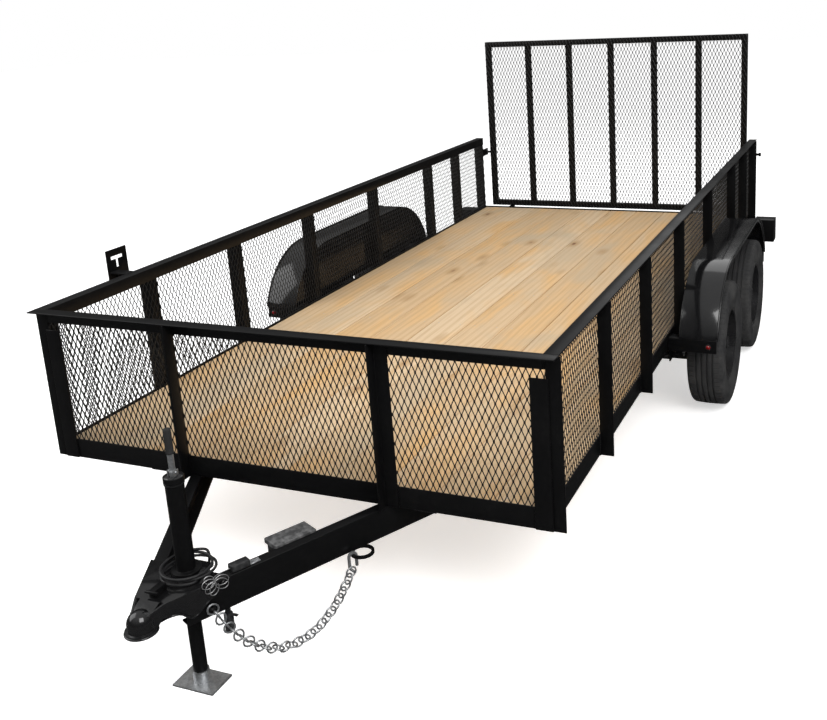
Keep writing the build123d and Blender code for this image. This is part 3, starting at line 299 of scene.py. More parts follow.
@dataclass(frozen=True)
class TimberFinish:
    """Planed softwood boards: each its own tint, long grain, growth bands and knots."""

    name: str
    pale: Colour
    warm: Colour
    band: Colour
    knot: Colour
    grey: Colour
    heart: Colour
    board_start: float
    board_pitch: float
    knots_across: float = 5.4
    knots_along: float = 2.1
    board_shift: Place = (0.4, 9.0, 3.0)
    sway_stretch: Place = (6.0, 1.4, 6.0)
    ring_stretch: Place = (1.0, 0.035, 1.0)
    fibre_stretch: Place = (240.0, 4.0, 240.0)
    stain_stretch: Place = (2.2, 1.1, 2.2)
    wobble_stretch: Place = (26.0, 12.0, 26.0)
    heart_span: Span = (0.48, 0.66, 0.0, 0.85)
    band_span: Span = (0.4, 1.0, 0.0, 0.28)
    streak_span: Span = (0.45, 0.75, 0.0, 0.3)
    stain_span: Span = (0.5, 0.68, 0.0, 0.6)
    core_span: Span = (0.06, 0.105, 0.9, 0.0)
    halo_span: Span = (0.09, 0.26, 0.75, 0.0)
    wobble: float = 0.06
    ring_relief: float = 0.4
    gloss: tuple[float, float] = (0.55, 0.75)

    def make(self) -> bpy.types.Material:
        """Build the timber's material, with the grain along Y."""
        sketch = ShaderSketch(self.name)
        axes = sketch.node("ShaderNodeSeparateXYZ")
        sketch.feed(axes.inputs[0], sketch.place)
        offset = sketch.sums("SUBTRACT", axes.outputs["X"], self.board_start)
        board = sketch.sums("FLOOR", sketch.sums("DIVIDE", offset, self.board_pitch))
        lot = sketch.node("ShaderNodeTexWhiteNoise", noise_dimensions="1D")
        sketch.feed(lot.inputs["W"], board)
        shifted = sketch.node("ShaderNodeVectorMath", operation="MULTIPLY_ADD")
        sketch.feed(shifted.inputs[0], lot.outputs["Color"])
        shifted.inputs[1].default_value = self.board_shift
        sketch.feed(shifted.inputs[2], sketch.place)
        where = shifted.outputs[0]

        sway = sketch.noise(sketch.stretched(self.sway_stretch, where), scale=1.0, detail=4.0, distortion=0.5)
        rings = sketch.node("ShaderNodeTexWave", wave_type="BANDS", bands_direction="X")
        sketch.feed(rings.inputs["Vector"], sketch.stretched(self.ring_stretch, where))
        pattern = {"Scale": 9.0, "Distortion": 11.0, "Detail": 3.0, "Detail Scale": 0.6}
        for label, value in pattern.items():
            rings.inputs[label].default_value = value
        fibre = sketch.noise(sketch.stretched(self.fibre_stretch, where), scale=1.0, detail=5.0)
        stain = sketch.noise(sketch.stretched(self.stain_stretch), scale=1.0, detail=5.0, distortion=0.8)

        tint = sketch.mix(lot.outputs["Value"], self.pale, self.warm)
        clouded = sketch.mix(sketch.spread(sway, *self.heart_span), tint, self.heart)
        banded = sketch.mix(sketch.spread(rings.outputs["Fac"], *self.band_span), clouded, self.band)
        streaked = sketch.mix(sketch.spread(fibre, *self.streak_span), banded, self.band)
        stained = sketch.mix(sketch.spread(stain, *self.stain_span), streaked, self.grey)

        knots = sketch.cells(sketch.stretched((self.knots_across, self.knots_along, 0.0), where), 1.0)
        wobble = sketch.noise(sketch.stretched(self.wobble_stretch, where), scale=1.0, detail=3.0)
        away = sketch.sums("ADD", knots.outputs["Distance"], sketch.sums("MULTIPLY", wobble, self.wobble))
        core = sketch.spread(away, *self.core_span)
        halo = sketch.spread(away, *self.halo_span)
        haloed = sketch.mix(halo, stained, self.band)
        sketch.set(
            Base_Color=sketch.mix(core, haloed, self.knot),
            Roughness=sketch.spread(fibre, *NOISE_SPAN, *self.gloss),
            Specular_IOR_Level=0.25,
        )
        relief = sketch.sums("ADD", sketch.sums("MULTIPLY", rings.outputs["Fac"], self.ring_relief), fibre)
        sketch.bump(relief, distance=0.0006, strength=0.5)
        return sketch.material


@dataclass(frozen=True)
class RubberFinish:
    """Moulded rubber with a dusty bloom."""

    name: str
    colour: Colour
    bloom: Colour
    dust: float
    dust_start: tuple[float, float] = (0.4, 0.75)
    gloss: tuple[float, float] = (0.62, 0.85)

    def make(self) -> bpy.types.Material:
        """Build the rubber's material."""
        sketch = ShaderSketch(self.name)
        cloud = sketch.noise(sketch.place, scale=9.0, detail=6.0, distortion=0.4)
        grain = sketch.noise(sketch.place, scale=900.0, detail=2.0)
        dusty = sketch.spread(cloud, *self.dust_start, 0.0, self.dust)
        sketch.set(
            Base_Color=sketch.mix(dusty, self.colour, self.bloom),
            Roughness=sketch.spread(cloud, *NOISE_SPAN, *self.gloss),
            Specular_IOR_Level=0.3,
        )
        sketch.bump(grain, distance=0.0002, strength=0.4)
        return sketch.material


@dataclass(frozen=True)
class PlateFinish:
    """Bright metal plating with a crystal pattern and scuffs."""

    name: str
    colour: Colour
    dull: Colour
    crystal: float
    gloss: tuple[float, float]
    scuff_stretch: Place = (60.0, 60.0, 12.0)
    crystal_depth: float = 0.8

    def make(self) -> bpy.types.Material:
        """Build the plating's material."""
        sketch = ShaderSketch(self.name)
        crystal = sketch.cells(sketch.place, self.crystal)
        grey = sketch.node("ShaderNodeRGBToBW")
        sketch.feed(grey.inputs[0], crystal.outputs["Color"])
        scuff = sketch.noise(sketch.stretched(self.scuff_stretch), scale=1.0, detail=5.0)
        dulled = sketch.sums("MULTIPLY", grey.outputs[0], self.crystal_depth)
        sketch.set(
            Base_Color=sketch.mix(dulled, self.colour, self.dull),
            Roughness=sketch.spread(scuff, *NOISE_SPAN, *self.gloss),
            Metallic=0.9,
        )
        sketch.bump(scuff, distance=0.0002, strength=0.3)
        return sketch.material


@dataclass(frozen=True)
class PlasticFinish:
    """Moulded plastic with a leathery grain and pale rub marks."""

    name: str
    colour: Colour
    rubbed: Colour
    wear: float
    grain: float = 700.0
    wear_start: tuple[float, float] = (0.42, 0.72)
    gloss: tuple[float, float] = (0.38, 0.6)

    def make(self) -> bpy.types.Material:
        """Build the plastic's material."""
        sketch = ShaderSketch(self.name)
        rub = sketch.noise(sketch.place, scale=60.0, detail=6.0)
        grain = sketch.cells(sketch.place, self.grain)
        worn = sketch.spread(rub, *self.wear_start, 0.0, self.wear)
        sketch.set(
            Base_Color=sketch.mix(worn, self.colour, self.rubbed),
            Roughness=sketch.spread(rub, *NOISE_SPAN, *self.gloss),
            Specular_IOR_Level=0.35,
        )
        sketch.bump(grain.outputs["Distance"], distance=0.0002, strength=0.5)
        return sketch.material


@dataclass(frozen=True)
class LensFinish:
    """Coloured lens with a ribbed inside that glints."""

    name: str
    colour: Colour
    deep: Colour
    ribs: float
    depth_span: Span = (0.1, 0.6, 0.0, 1.0)

    def make(self) -> bpy.types.Material:
        """Build the lens's material."""
        sketch = ShaderSketch(self.name)
        ribs = sketch.cells(sketch.place, self.ribs, "SMOOTH_F1")
        depth = sketch.spread(ribs.outputs["Distance"], *self.depth_span)
        sketch.set(
            Base_Color=sketch.mix(depth, self.colour, self.deep),
            Roughness=0.12,
            Coat_Weight=0.6,
        )
        sketch.bump(ribs.outputs["Distance"], distance=0.0008, strength=0.5)
        return sketch.material


class Finishes:
    """Every material on the trailer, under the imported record's slot names."""

    def __init__(self, timber: TimberFinish) -> None:
        """Make the materials.

        Args:
            timber: The deck's timber, which follows the boards' own places.
        """
        dust = (0.09, 0.085, 0.08)
        # Paint has a colour, dust, gloss from smooth to rough, specular and coat. Rubber, plating, plastic
        # and lenses have two colours that mix, then how much they wear or how fine their pattern is.
        recipes = {
            "black_steel": PaintFinish(
                "black_paint", (0.0035, 0.0035, 0.0038), dust, 0.02, (0.28, 0.42), 0.16
            ),
            "fender_gloss": PaintFinish(
                "fender_paint", (0.006, 0.006, 0.0065), dust, 0.03, (0.1, 0.18), 0.4, 0.35
            ),
            "mesh_black": PaintFinish("mesh_paint", (0.006, 0.006, 0.006), dust, 0.1, (0.35, 0.55), 0.3),
            "axle_black": PaintFinish("axle_paint", (0.008, 0.008, 0.008), dust, 0.2, (0.45, 0.6), 0.3),
            "spring_steel": PaintFinish("spring_paint", (0.012, 0.012, 0.013), dust, 0.25, (0.4, 0.6), 0.35),
            "rim_paint": PaintFinish("rim_paint", (0.012, 0.012, 0.013), dust, 0.1, (0.22, 0.35), 0.45),
            "deck_timber": timber,
            "tyre_rubber": RubberFinish("tyre_rubber", (0.023, 0.023, 0.024), (0.07, 0.068, 0.065), 0.6),
            "grip_rubber": RubberFinish("grip_rubber", (0.012, 0.012, 0.012), (0.04, 0.04, 0.04), 0.4),
            "zinc": PlateFinish("zinc_plate", (0.58, 0.59, 0.6), (0.33, 0.34, 0.35), 160.0, (0.3, 0.55)),
            "box_plastic": PlasticFinish("box_plastic", (0.012, 0.012, 0.013), (0.07, 0.07, 0.07), 0.5),
            "lid_plastic": PlasticFinish("lid_plastic", (0.05, 0.05, 0.051), (0.16, 0.16, 0.16), 0.9, 320.0),
            "cable_black": PlasticFinish(
                "cable_sheath", (0.011, 0.011, 0.012), (0.05, 0.05, 0.05), 0.3, 1500.0
            ),
            "lanyard_wire": PlateFinish(
                "lanyard_wire", (0.6, 0.6, 0.6), (0.42, 0.42, 0.43), 700.0, (0.3, 0.45)
            ),
            "red_lens": LensFinish("red_lens", (0.36, 0.006, 0.008), (0.09, 0.002, 0.003), 260.0),
        }
        self.made: dict[str, bpy.types.Material] = {slot: recipe.make() for slot, recipe in recipes.items()}

    def __getitem__(self, slot: str) -> bpy.types.Material:
        """Material of a slot."""
        return self.made[slot]


class TreeSketch:
    """Builds one Geometry Nodes tree with named inputs."""

    JOIN = 0.02 * MILLIMETRE

    def __init__(self, name: str, inputs: dict[str, str]) -> None:
        """Start a tree.

        Args:
            name: The tree's name.
            inputs: Name of each input, and its kind of socket.
        """
        self.tree = bpy.data.node_groups.new(name, "GeometryNodeTree")
        self.tree.interface.new_socket("Points", in_out="INPUT", socket_type="NodeSocketGeometry")
        self.keys: dict[str, str] = {}
        for label, kind in inputs.items():
            made = self.tree.interface.new_socket(label, in_out="INPUT", socket_type=f"NodeSocket{kind}")
            self.keys[label] = made.identifier
        self.tree.interface.new_socket("Result", in_out="OUTPUT", socket_type="NodeSocketGeometry")
        self.source = self.tree.nodes.new("NodeGroupInput")
        self.end = self.tree.nodes.new("NodeGroupOutput")

    def given(self, label: str) -> bpy.types.NodeSocket:
        """Output of one of the tree's inputs."""
        return self.source.outputs[label]

    def node(self, kind: str, links: dict[str, object], **settings: object) -> bpy.types.Node:
        """Add a node and feed its inputs.

        Args:
            kind: Blender's name of the node's type.
            links: Numbers or outputs for its inputs, by their names.
            settings: Properties to set on it.

        Returns:
            The new node.
        """
        made = self.tree.nodes.new(kind)
        for key, value in settings.items():
            setattr(made, key, value)
        for key, value in links.items():
            if isinstance(value, bpy.types.NodeSocket):
                self.tree.links.new(value, made.inputs[key])
            else:
                made.inputs[key].default_value = value
        return made

    def close(self, geometry: bpy.types.NodeSocket) -> None:
        """Realize the instances, give them the material and end the tree.

        Args:
            geometry: What the tree has made.
        """
        real = self.node("GeometryNodeRealizeInstances", {"Geometry": geometry})
        merged = self.node(
            "GeometryNodeMergeByDistance", {"Geometry": real.outputs[0], "Distance": self.JOIN}
        )
        dressed = self.node(
            "GeometryNodeSetMaterial", {"Geometry": merged.outputs[0], "Material": self.given("Material")}
        )
        self.tree.links.new(dressed.outputs[0], self.end.inputs[0])

    def grow(self, name: str, start: bpy.types.Mesh, values: dict[str, object]) -> bpy.types.Object:
        """Run the tree on a mesh and keep what it makes as a plain mesh.

        Args:
            name: Name of the new piece.
            start: Mesh that the tree starts from.
            values: Values of the named inputs.

        Returns:
            The new object, with no modifier left on it.
        """
        piece = bpy.data.objects.new(name, start)
        bpy.context.scene.collection.objects.link(piece)
        modifier = piece.modifiers.new(name, "NODES")
        modifier.node_group = self.tree
        for label, value in values.items():
            modifier[self.keys[label]] = value
        bpy.context.view_layer.update()
        grown = bpy.data.meshes.new_from_object(piece.evaluated_get(bpy.context.evaluated_depsgraph_get()))
        grown.name = name
        piece.modifiers.clear()
        piece.data = grown
        bpy.data.meshes.remove(start)
        return piece


class PanelTree(TreeSketch):
    """Repeats a cell over a flat panel and stands the panel in its place."""

    def __init__(self) -> None:
        """Build the tree."""
        super().__init__(
            "panel_of_cells",
            {
                "Cell": "Object",
                "Columns": "Int",
                "Rows": "Int",
                "Width": "Float",
                "Height": "Float",
                "Middle": "Vector",
                "Turn": "Vector",
                "Material": "Material",
            },
        )
        grid = self.node(
            "GeometryNodeMeshGrid",
            {
                "Size X": self.given("Width"),
                "Size Y": self.given("Height"),
                "Vertices X": self.given("Columns"),
                "Vertices Y": self.given("Rows"),
            },
        )
        cell = self.node("GeometryNodeObjectInfo", {"Object": self.given("Cell")})
        spread = self.node(
            "GeometryNodeInstanceOnPoints",
            {"Points": grid.outputs["Mesh"], "Instance": cell.outputs["Geometry"]},
        )
        stood = self.node(
            "GeometryNodeTransform",
            {
                "Geometry": spread.outputs[0],
                "Translation": self.given("Middle"),
                "Rotation": self.given("Turn"),
            },
        )
        self.close(stood.outputs[0])


class SetOutTree(TreeSketch):
    """Sets one small shape on every point of a mesh, turned by the points' own quaternion."""

    TURN = "turn"

    def __init__(self) -> None:
        """Build the tree."""
        super().__init__("set_out", {"Shape": "Object", "Material": "Material"})
        shape = self.node("GeometryNodeObjectInfo", {"Object": self.given("Shape")})
        turn = self.node("GeometryNodeInputNamedAttribute", {"Name": self.TURN}, data_type="QUATERNION")
        spread = self.node(
            "GeometryNodeInstanceOnPoints",
            {
                "Points": self.given("Points"),
                "Instance": shape.outputs["Geometry"],
                "Rotation": turn.outputs["Attribute"],
            },
        )
        self.close(spread.outputs[0])

    def points(self, places: Sequence[Matrix]) -> bpy.types.Mesh:
        """Mesh of loose points that carry a turn.

        Args:
            places: Where each copy stands and how it is turned.

        Returns:
            The mesh of points.
        """
        mesh = bpy.data.meshes.new("points")
        mesh.from_pydata([place.translation for place in places], [], [])
        turns = mesh.attributes.new(self.TURN, "QUATERNION", "POINT")
        for item, place in zip(turns.data, places):
            item.value = place.to_quaternion()
        return mesh

    def set_out(
        self, name: str, shape: bpy.types.Object, places: Sequence[Matrix], material: bpy.types.Material
    ) -> bpy.types.Object:
        """Set copies of a shape in many places, all in one piece.

        Args:
            name: Name of the new piece.
            shape: The shape, an object that isn't in the scene.
            places: Where each copy stands and how it is turned.
            material: The piece's finish.

        Returns:
            The new piece.
        """
        return self.grow(name, self.points(places), {"Shape": shape, "Material": material})


def mesh_of(name: str, draft: bmesh.types.BMesh, smooth_angle: float | None = None) -> bpy.types.Mesh:
    """Turn a draft into a mesh, and shade it smooth below an angle if one is given.

    Args:
        name: The mesh's name.
        draft: The draft, which is freed.
        smooth_angle: Edges sharper than this, in radians, stay sharp.

    Returns:
        The mesh.
    """
    mesh = bpy.data.meshes.new(name)
    draft.to_mesh(mesh)
    draft.free()
    if smooth_angle is not None:
        mesh.shade_smooth()
        mesh.set_sharp_from_angle(angle=smooth_angle)
    return mesh


def add_object(name: str, mesh: bpy.types.Mesh) -> bpy.types.Object:
    """Add an object at the origin for a mesh."""
    made = bpy.data.objects.new(name, mesh)
    bpy.context.scene.collection.objects.link(made)
    return made


def settle(piece: bpy.types.Object, body: str, replaced: Iterable[str] = ()) -> bpy.types.Object:
    """Say what a finished piece rides on and which nodes it stands for.

    Args:
        piece: The finished piece.
        body: Name of the body it rides on.
        replaced: Nodes that it stands for.

    Returns:
        The same piece.
    """
    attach(piece, body)
    nodes = list(replaced)
    if nodes:
        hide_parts(*nodes)
    LOG.info("%s rides on %s", piece.name, body)
    return piece


def merged_copy(node: str) -> bmesh.types.BMesh:
    """Draft of a node with its loose triangles joined."""
    draft = bmesh.new()
    draft.from_mesh(frame["nodes"][node].data)
    bmesh.ops.remove_doubles(draft, verts=draft.verts, dist=JOIN_DISTANCE)
    return draft


def loose_parts(draft: bmesh.types.BMesh) -> list[list[bmesh.types.BMVert]]:
    """Corners of each separate piece of a draft.

    Args:
        draft: The draft.

    Returns:
        One list of corners for each piece.
    """
    unseen = set(draft.verts)
    found: list[list[bmesh.types.BMVert]] = []
    while unseen:
        stack = [unseen.pop()]
        part = []
        while stack:
            vert = stack.pop()
            part.append(vert)
            for edge in vert.link_edges:
                other = edge.other_vert(vert)
                if other in unseen:
                    unseen.remove(other)
                    stack.append(other)
        found.append(part)
    return found


def islands(node: str) -> list[list[Vector]]:
    """Corner points of each separate solid of a node."""
    draft = merged_copy(node)
    found = [[vert.co.copy() for vert in part] for part in loose_parts(draft)]
    draft.free()
    return found


def box_of(points: Sequence[Vector]) -> tuple[Vector, Vector]:
    """Lowest and highest corner of some points."""
    low = Vector([min(point[axis] for point in points) for axis in range(3)])
    high = Vector([max(point[axis] for point in points) for axis in range(3)])
    return low, high


def add_box(draft: bmesh.types.BMesh, low: Vector, high: Vector) -> list[bmesh.types.BMVert]:
    """Add a box between two corners to a draft; gives its corners."""
    size = high - low
    place = Matrix.Translation((low + high) / 2) @ Matrix.Diagonal((*size, 1.0))
    return bmesh.ops.create_cube(draft, size=1.0, matrix=place)["verts"]


def ease_edges(draft: bmesh.types.BMesh, width: float, segments: int, from_angle: float) -> None:
    """Round every edge of a draft that is sharper than an angle.

    Args:
        draft: The draft.
        width: Width of the rounding.
        segments: Faces across the rounding.
        from_angle: Least turn between two faces, in radians.
    """
    sharp = [e for e in draft.edges if len(e.link_faces) == 2 and e.calc_face_angle(0.0) > from_angle]
    bmesh.ops.bevel(
        draft, geom=sharp, offset=width, segments=segments, profile=0.5, affect="EDGES", clamp_overlap=True
    )


def skin(
    draft: bmesh.types.BMesh, rings: Sequence[Sequence[bmesh.types.BMVert]], closed: bool = False
) -> None:
    """Join rows of corners, each a closed ring or a single point, with faces.

    Args:
        draft: The draft that the corners are in.
        rings: The rows in order.
        closed: Whether the last row joins the first.
    """
    follows = list(zip(rings, rings[1:])) + ([(rings[-1], rings[0])] if closed else [])
    for near, far in follows:
        for corner in range(max(len(near), len(far))):
            follow = corner + 1
            loop = (
                near[corner % len(near)],
                near[follow % len(near)],
                far[follow % len(far)],
                far[corner % len(far)],
            )
            draft.faces.new(list(dict.fromkeys(loop)))


def add_tube(
    draft: bmesh.types.BMesh, centres: Sequence[Vector], radius: float, sides: int = 10, closed: bool = False
) -> None:
    """Add a round tube along points to a draft.

    Args:
        draft: The draft.
        centres: Points that the tube follows.
        radius: Its radius.
        sides: Faces round it.
        closed: Whether it is a ring.
    """
    rings = []
    side = (centres[1] - centres[0]).orthogonal().normalized()
    for number, centre in enumerate(centres):
        before = centres[number - 1] if number or closed else centre
        after = centres[(number + 1) % len(centres)] if closed else centres[min(number + 1, len(centres) - 1)]
        along = (after - before).normalized()
        side = (side - along * side.dot(along)).normalized()
        over = along.cross(side)
        turns = [2 * math.pi * corner / sides for corner in range(sides)]
        spokes = [math.cos(turn) * side + math.sin(turn) * over for turn in turns]
        rings.append([draft.verts.new(centre + radius * spoke) for spoke in spokes])
    skin(draft, rings, closed)
    if not closed:
        draft.faces.new(rings[0])
        draft.faces.new(rings[-1])


def add_turned(
    draft: bmesh.types.BMesh, profile: Sequence[tuple[float, float]], place: Matrix, steps: int = 24
) -> None:
    """Add a turned shape to a draft.

    Args:
        draft: The draft.
        profile: Radius and height of each point of the outline about Z.
        place: Where the shape stands.
        steps: Faces round it.
    """
    rings = []
    for radius, height in profile:
        turns = [2 * math.pi * step / steps for step in range(steps if radius else 1)]
        circle = [Vector((radius * math.cos(turn), radius * math.sin(turn), height)) for turn in turns]
        rings.append([draft.verts.new(place @ point) for point in circle])
    skin(draft, rings)


def fit_on_chassis(
    name: str,
    draft: bmesh.types.BMesh,
    material: bpy.types.Material,
    replaced: Iterable[str] = (),
    smooth_angle: float = SHARP_TURN,
) -> bpy.types.Object:
    """Point a draft's faces outward, make a piece of it and settle it on the chassis.

    Args:
        name: The piece's name.
        draft: The draft, which is freed.
        material: The piece's finish.
        replaced: Nodes that it stands for.
        smooth_angle: Edges sharper than this stay sharp.

    Returns:
        The piece.
    """
    bmesh.ops.recalc_face_normals(draft, faces=draft.faces)
    piece = add_object(name, mesh_of(name, draft, smooth_angle))
    piece.data.materials.append(material)
    return settle(piece, Body.CHASSIS.value, replaced)


def axes_matrix(place: Vector, along: Vector, upright: Vector) -> Matrix:
    """Matrix at a place with its Z along one direction and its X near another."""
    z_axis = along.normalized()
    x_axis = (upright - z_axis * upright.dot(z_axis)).normalized()
    return Matrix.Translation(place) @ Matrix((x_axis, z_axis.cross(x_axis), z_axis)).transposed().to_4x4()


@dataclass
class Steelwork:
    """Welded steel pieces: their own solids with eased edges, in one finish."""

    slot: str
    body: str
    nodes: tuple[str, ...]
    edge: float = 1.6 * MILLIMETRE
    segments: int = 2
    flat: float = math.radians(1.0)
    sharp: float = SHARP_TURN
    look: str | None = None

    def draft(self, node: str) -> bmesh.types.BMesh:
        """Draft of one piece before its edges are eased."""
        return merged_copy(node)

    def mesh(self, node: str) -> bpy.types.Mesh:
        """Mesh of one piece with its edges eased."""
        draft = self.draft(node)
        bmesh.ops.dissolve_limit(draft, angle_limit=self.flat, verts=draft.verts, edges=draft.edges)
        ease_edges(draft, self.edge, self.segments, self.sharp)
        return mesh_of(f"{node}_eased", draft, self.sharp)

    def dress(self, finishes: Finishes) -> None:
        """Build every piece and settle it in the place of its node.

        Args:
            finishes: The trailer's materials.
        """
        for node in self.nodes:
            piece = add_object(f"{node}_steel", self.mesh(node))
            piece.data.materials.append(finishes[self.look or self.slot])
            settle(piece, self.body, [node])


@dataclass
class FrontPosts(Steelwork):
    """Front wall's angle posts, both with the flat leg on the outer side, and the strips at the corners."""

    wall: float = 5.0 * MILLIMETRE
    leg: float = 20.0 * MILLIMETRE

    def draft(self, node: str) -> bmesh.types.BMesh:
        """Draft of the posts with the right one turned about, so that its flat leg points outward."""
        draft = super().draft(node)
        for part in loose_parts(draft):
            low, high = box_of([vert.co for vert in part])
            if low.x < 0.0 or high.y - low.y < self.leg:
                continue
            for vert in part:
                vert.co.x = 2 * high.x - self.wall - vert.co.x
            bmesh.ops.reverse_faces(draft, faces=list({face for vert in part for face in vert.link_faces}))
        return draft


@dataclass
class ExpandedMetal:
    """Diamond mesh panels: zigzag strands that meet in bonds, tilted as the slit sheet is stretched."""

    short_way: float = 23.4 * MILLIMETRE
    long_way: float = 50.8 * MILLIMETRE
    strand: float = 3.3 * MILLIMETRE
    thickness: float = 2.6 * MILLIMETRE
    bond: float = 8.0 * MILLIMETRE
    tilt: float = math.radians(24.0)

    def cell(self, pitch: Vector) -> bpy.types.Object:
        """One repeat of the mesh: two zigzag strands.

        Args:
            pitch: Size of the repeat across and along the diamonds.

        Returns:
            An object that isn't in the scene.
        """
        draft = bmesh.new()
        half_long = pitch.y / 2
        half_bond = self.bond / 2
        next_bond = half_long - half_bond
        stations = (-half_long, -next_bond, -half_bond, half_bond, next_bond, half_long)
        at_middle = (True, True, False, False, True, True)
        lean = Vector((math.cos(self.tilt), 0.0, -math.sin(self.tilt)))
        out = Vector((math.sin(self.tilt), 0.0, math.cos(self.tilt)))
        for side in Side:
            rings = []
            for y, middle in zip(stations, at_middle):
                column = 0.0 if middle else side.value * pitch.x / 2
                step = side.value if middle else -side.value
                centre = Vector((column, y, 0.0)) + lean * (step * self.strand / 2)
                corners = ((-1, -1), (1, -1), (1, 1), (-1, 1))
                rings.append([
                    draft.verts.new(centre + lean * (a * self.strand / 2) + out * (b * self.thickness / 2))
                    for a, b in corners
                ])
            skin(draft, rings)
        bmesh.ops.recalc_face_normals(draft, faces=draft.faces)
        return bpy.data.objects.new("diamond_cell", mesh_of("diamond_cell", draft))

    def panel(
        self, node: str, facing: Facing, tree: PanelTree, material: bpy.types.Material
    ) -> bpy.types.Object:
        """One panel that fills a node's sheet.

        Args:
            node: Node of the sheet.
            facing: How the sheet stands.
            tree: The tree that repeats the cell.
            material: The panel's finish.

        Returns:
            The panel.
        """
        low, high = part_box(node)
        size = high - low
        width = size.x if facing is Facing.ACROSS else size.y
        columns = round(width / self.short_way)
        rows = round(size.z / self.long_way)
        pitch = Vector((width / columns, size.z / rows, 0.0))
        cell = self.cell(pitch)
        grown = tree.grow(
            f"{node}_diamonds",
            bpy.data.meshes.new("start"),
            {
                "Cell": cell,
                "Columns": columns,
                "Rows": rows,
                "Width": pitch.x * (columns - 1),
                "Height": pitch.y * (rows - 1),
                "Middle": (low + high) / 2,
                "Turn": Vector(facing.value),
                "Material": material,
            },
        )
        bpy.data.objects.remove(cell)
        return grown

    def dress(self, finishes: Finishes) -> None:
        """Build the walls' and the gate's panels.

        Args:
            finishes: The trailer's materials.
        """
        tree = PanelTree()
        panels = (
            ("mesh_left", Facing.ALONG, Body.CHASSIS),
            ("mesh_right", Facing.ALONG, Body.CHASSIS),
            ("mesh_front", Facing.ACROSS, Body.CHASSIS),
            ("gate_mesh", Facing.ACROSS, Body.GATE),
        )
        for node, facing, body in panels:
            piece = self.panel(node, facing, tree, finishes["mesh_black"])
            settle(piece, body.value, [node])


@dataclass
class Deck:
    """Planks with eased edges, each a little out of level with its neighbours, and their screws."""

    edge: float = 3.0 * MILLIMETRE
    edge_segments: int = 3
    edge_turn: float = math.radians(30.0)
    lift: float = 0.8 * MILLIMETRE
    screw_radius: float = 4.2 * MILLIMETRE
    screw_top: float = 0.6
    screw_sides: int = 10
    screw_rise: float = 0.8 * MILLIMETRE
    screw_inset: float = 38.0 * MILLIMETRE
    seed: int = 7

    def boards(self) -> list[tuple[Vector, Vector]]:
        """Corners of every board, from left to right."""
        return sorted((box_of(points) for points in islands("deck_boards")), key=lambda box: box[0].x)

    def timber(self) -> TimberFinish:
        """The boards' finish, whose tints change from board to board."""
        boards = self.boards()
        return TimberFinish(
            "deck_timber",
            pale=(0.74, 0.56, 0.36),
            warm=(0.66, 0.46, 0.26),
            band=(0.44, 0.26, 0.115),
            knot=(0.19, 0.075, 0.035),
            grey=(0.52, 0.42, 0.29),
            heart=(0.76, 0.47, 0.205),
            board_start=boards[0][0].x,
            board_pitch=boards[1][0].x - boards[0][0].x,
        )

    def planks(self) -> bpy.types.Mesh:
        """Mesh of all the boards."""
        draw = random.Random(self.seed)
        draft = bmesh.new()
        for low, high in self.boards():
            drop = Vector((0.0, 0.0, draw.uniform(0.0, self.lift)))
            add_box(draft, low, high - drop)
        ease_edges(draft, self.edge, self.edge_segments, self.edge_turn)
        return mesh_of("deck_planks", draft, SHARP_TURN)

    def screw(self) -> bpy.types.Object:
        """A screw's low domed head, standing on the XY plane."""
        draft = bmesh.new()
        bmesh.ops.create_cone(
            draft,
            cap_ends=True,
            segments=self.screw_sides,
            radius1=self.screw_radius,
            radius2=self.screw_top * self.screw_radius,
            depth=self.screw_rise,
            matrix=Matrix.Translation((0.0, 0.0, self.screw_rise / 2)),
        )
        return bpy.data.objects.new("deck_screw", mesh_of("deck_screw", draft))

    def screw_places(self) -> list[Matrix]:
        """Two screws a board at the end rails and over each crossmember."""
        ends = self.boards()[0]
        beams = [box_of(points) for points in islands("crossmembers")]
        crossings = sorted((low.y + high.y) / 2 for low, high in beams)
        rows = [ends[0].y + self.screw_inset, *crossings, ends[1].y - self.screw_inset]
        return [
            Matrix.Translation((x, y, high.z - self.lift))
            for low, high in self.boards()
            for x in (low.x + self.screw_inset, high.x - self.screw_inset)
            for y in rows
        ]

    def dress(self, finishes: Finishes, tree: SetOutTree) -> None:
        """Build the planks and their screws.

        Args:
            finishes: The trailer's materials.
            tree: The tree that sets out small shapes.
        """
        planks = add_object("deck_planks", self.planks())
        planks.data.materials.append(finishes["deck_timber"])
        settle(planks, Body.CHASSIS.value, ["deck_boards"])
        screw = self.screw()
        heads = tree.set_out("deck_screws", screw, self.screw_places(), finishes["zinc"])
        settle(heads, Body.CHASSIS.value)
        bpy.data.objects.remove(screw)


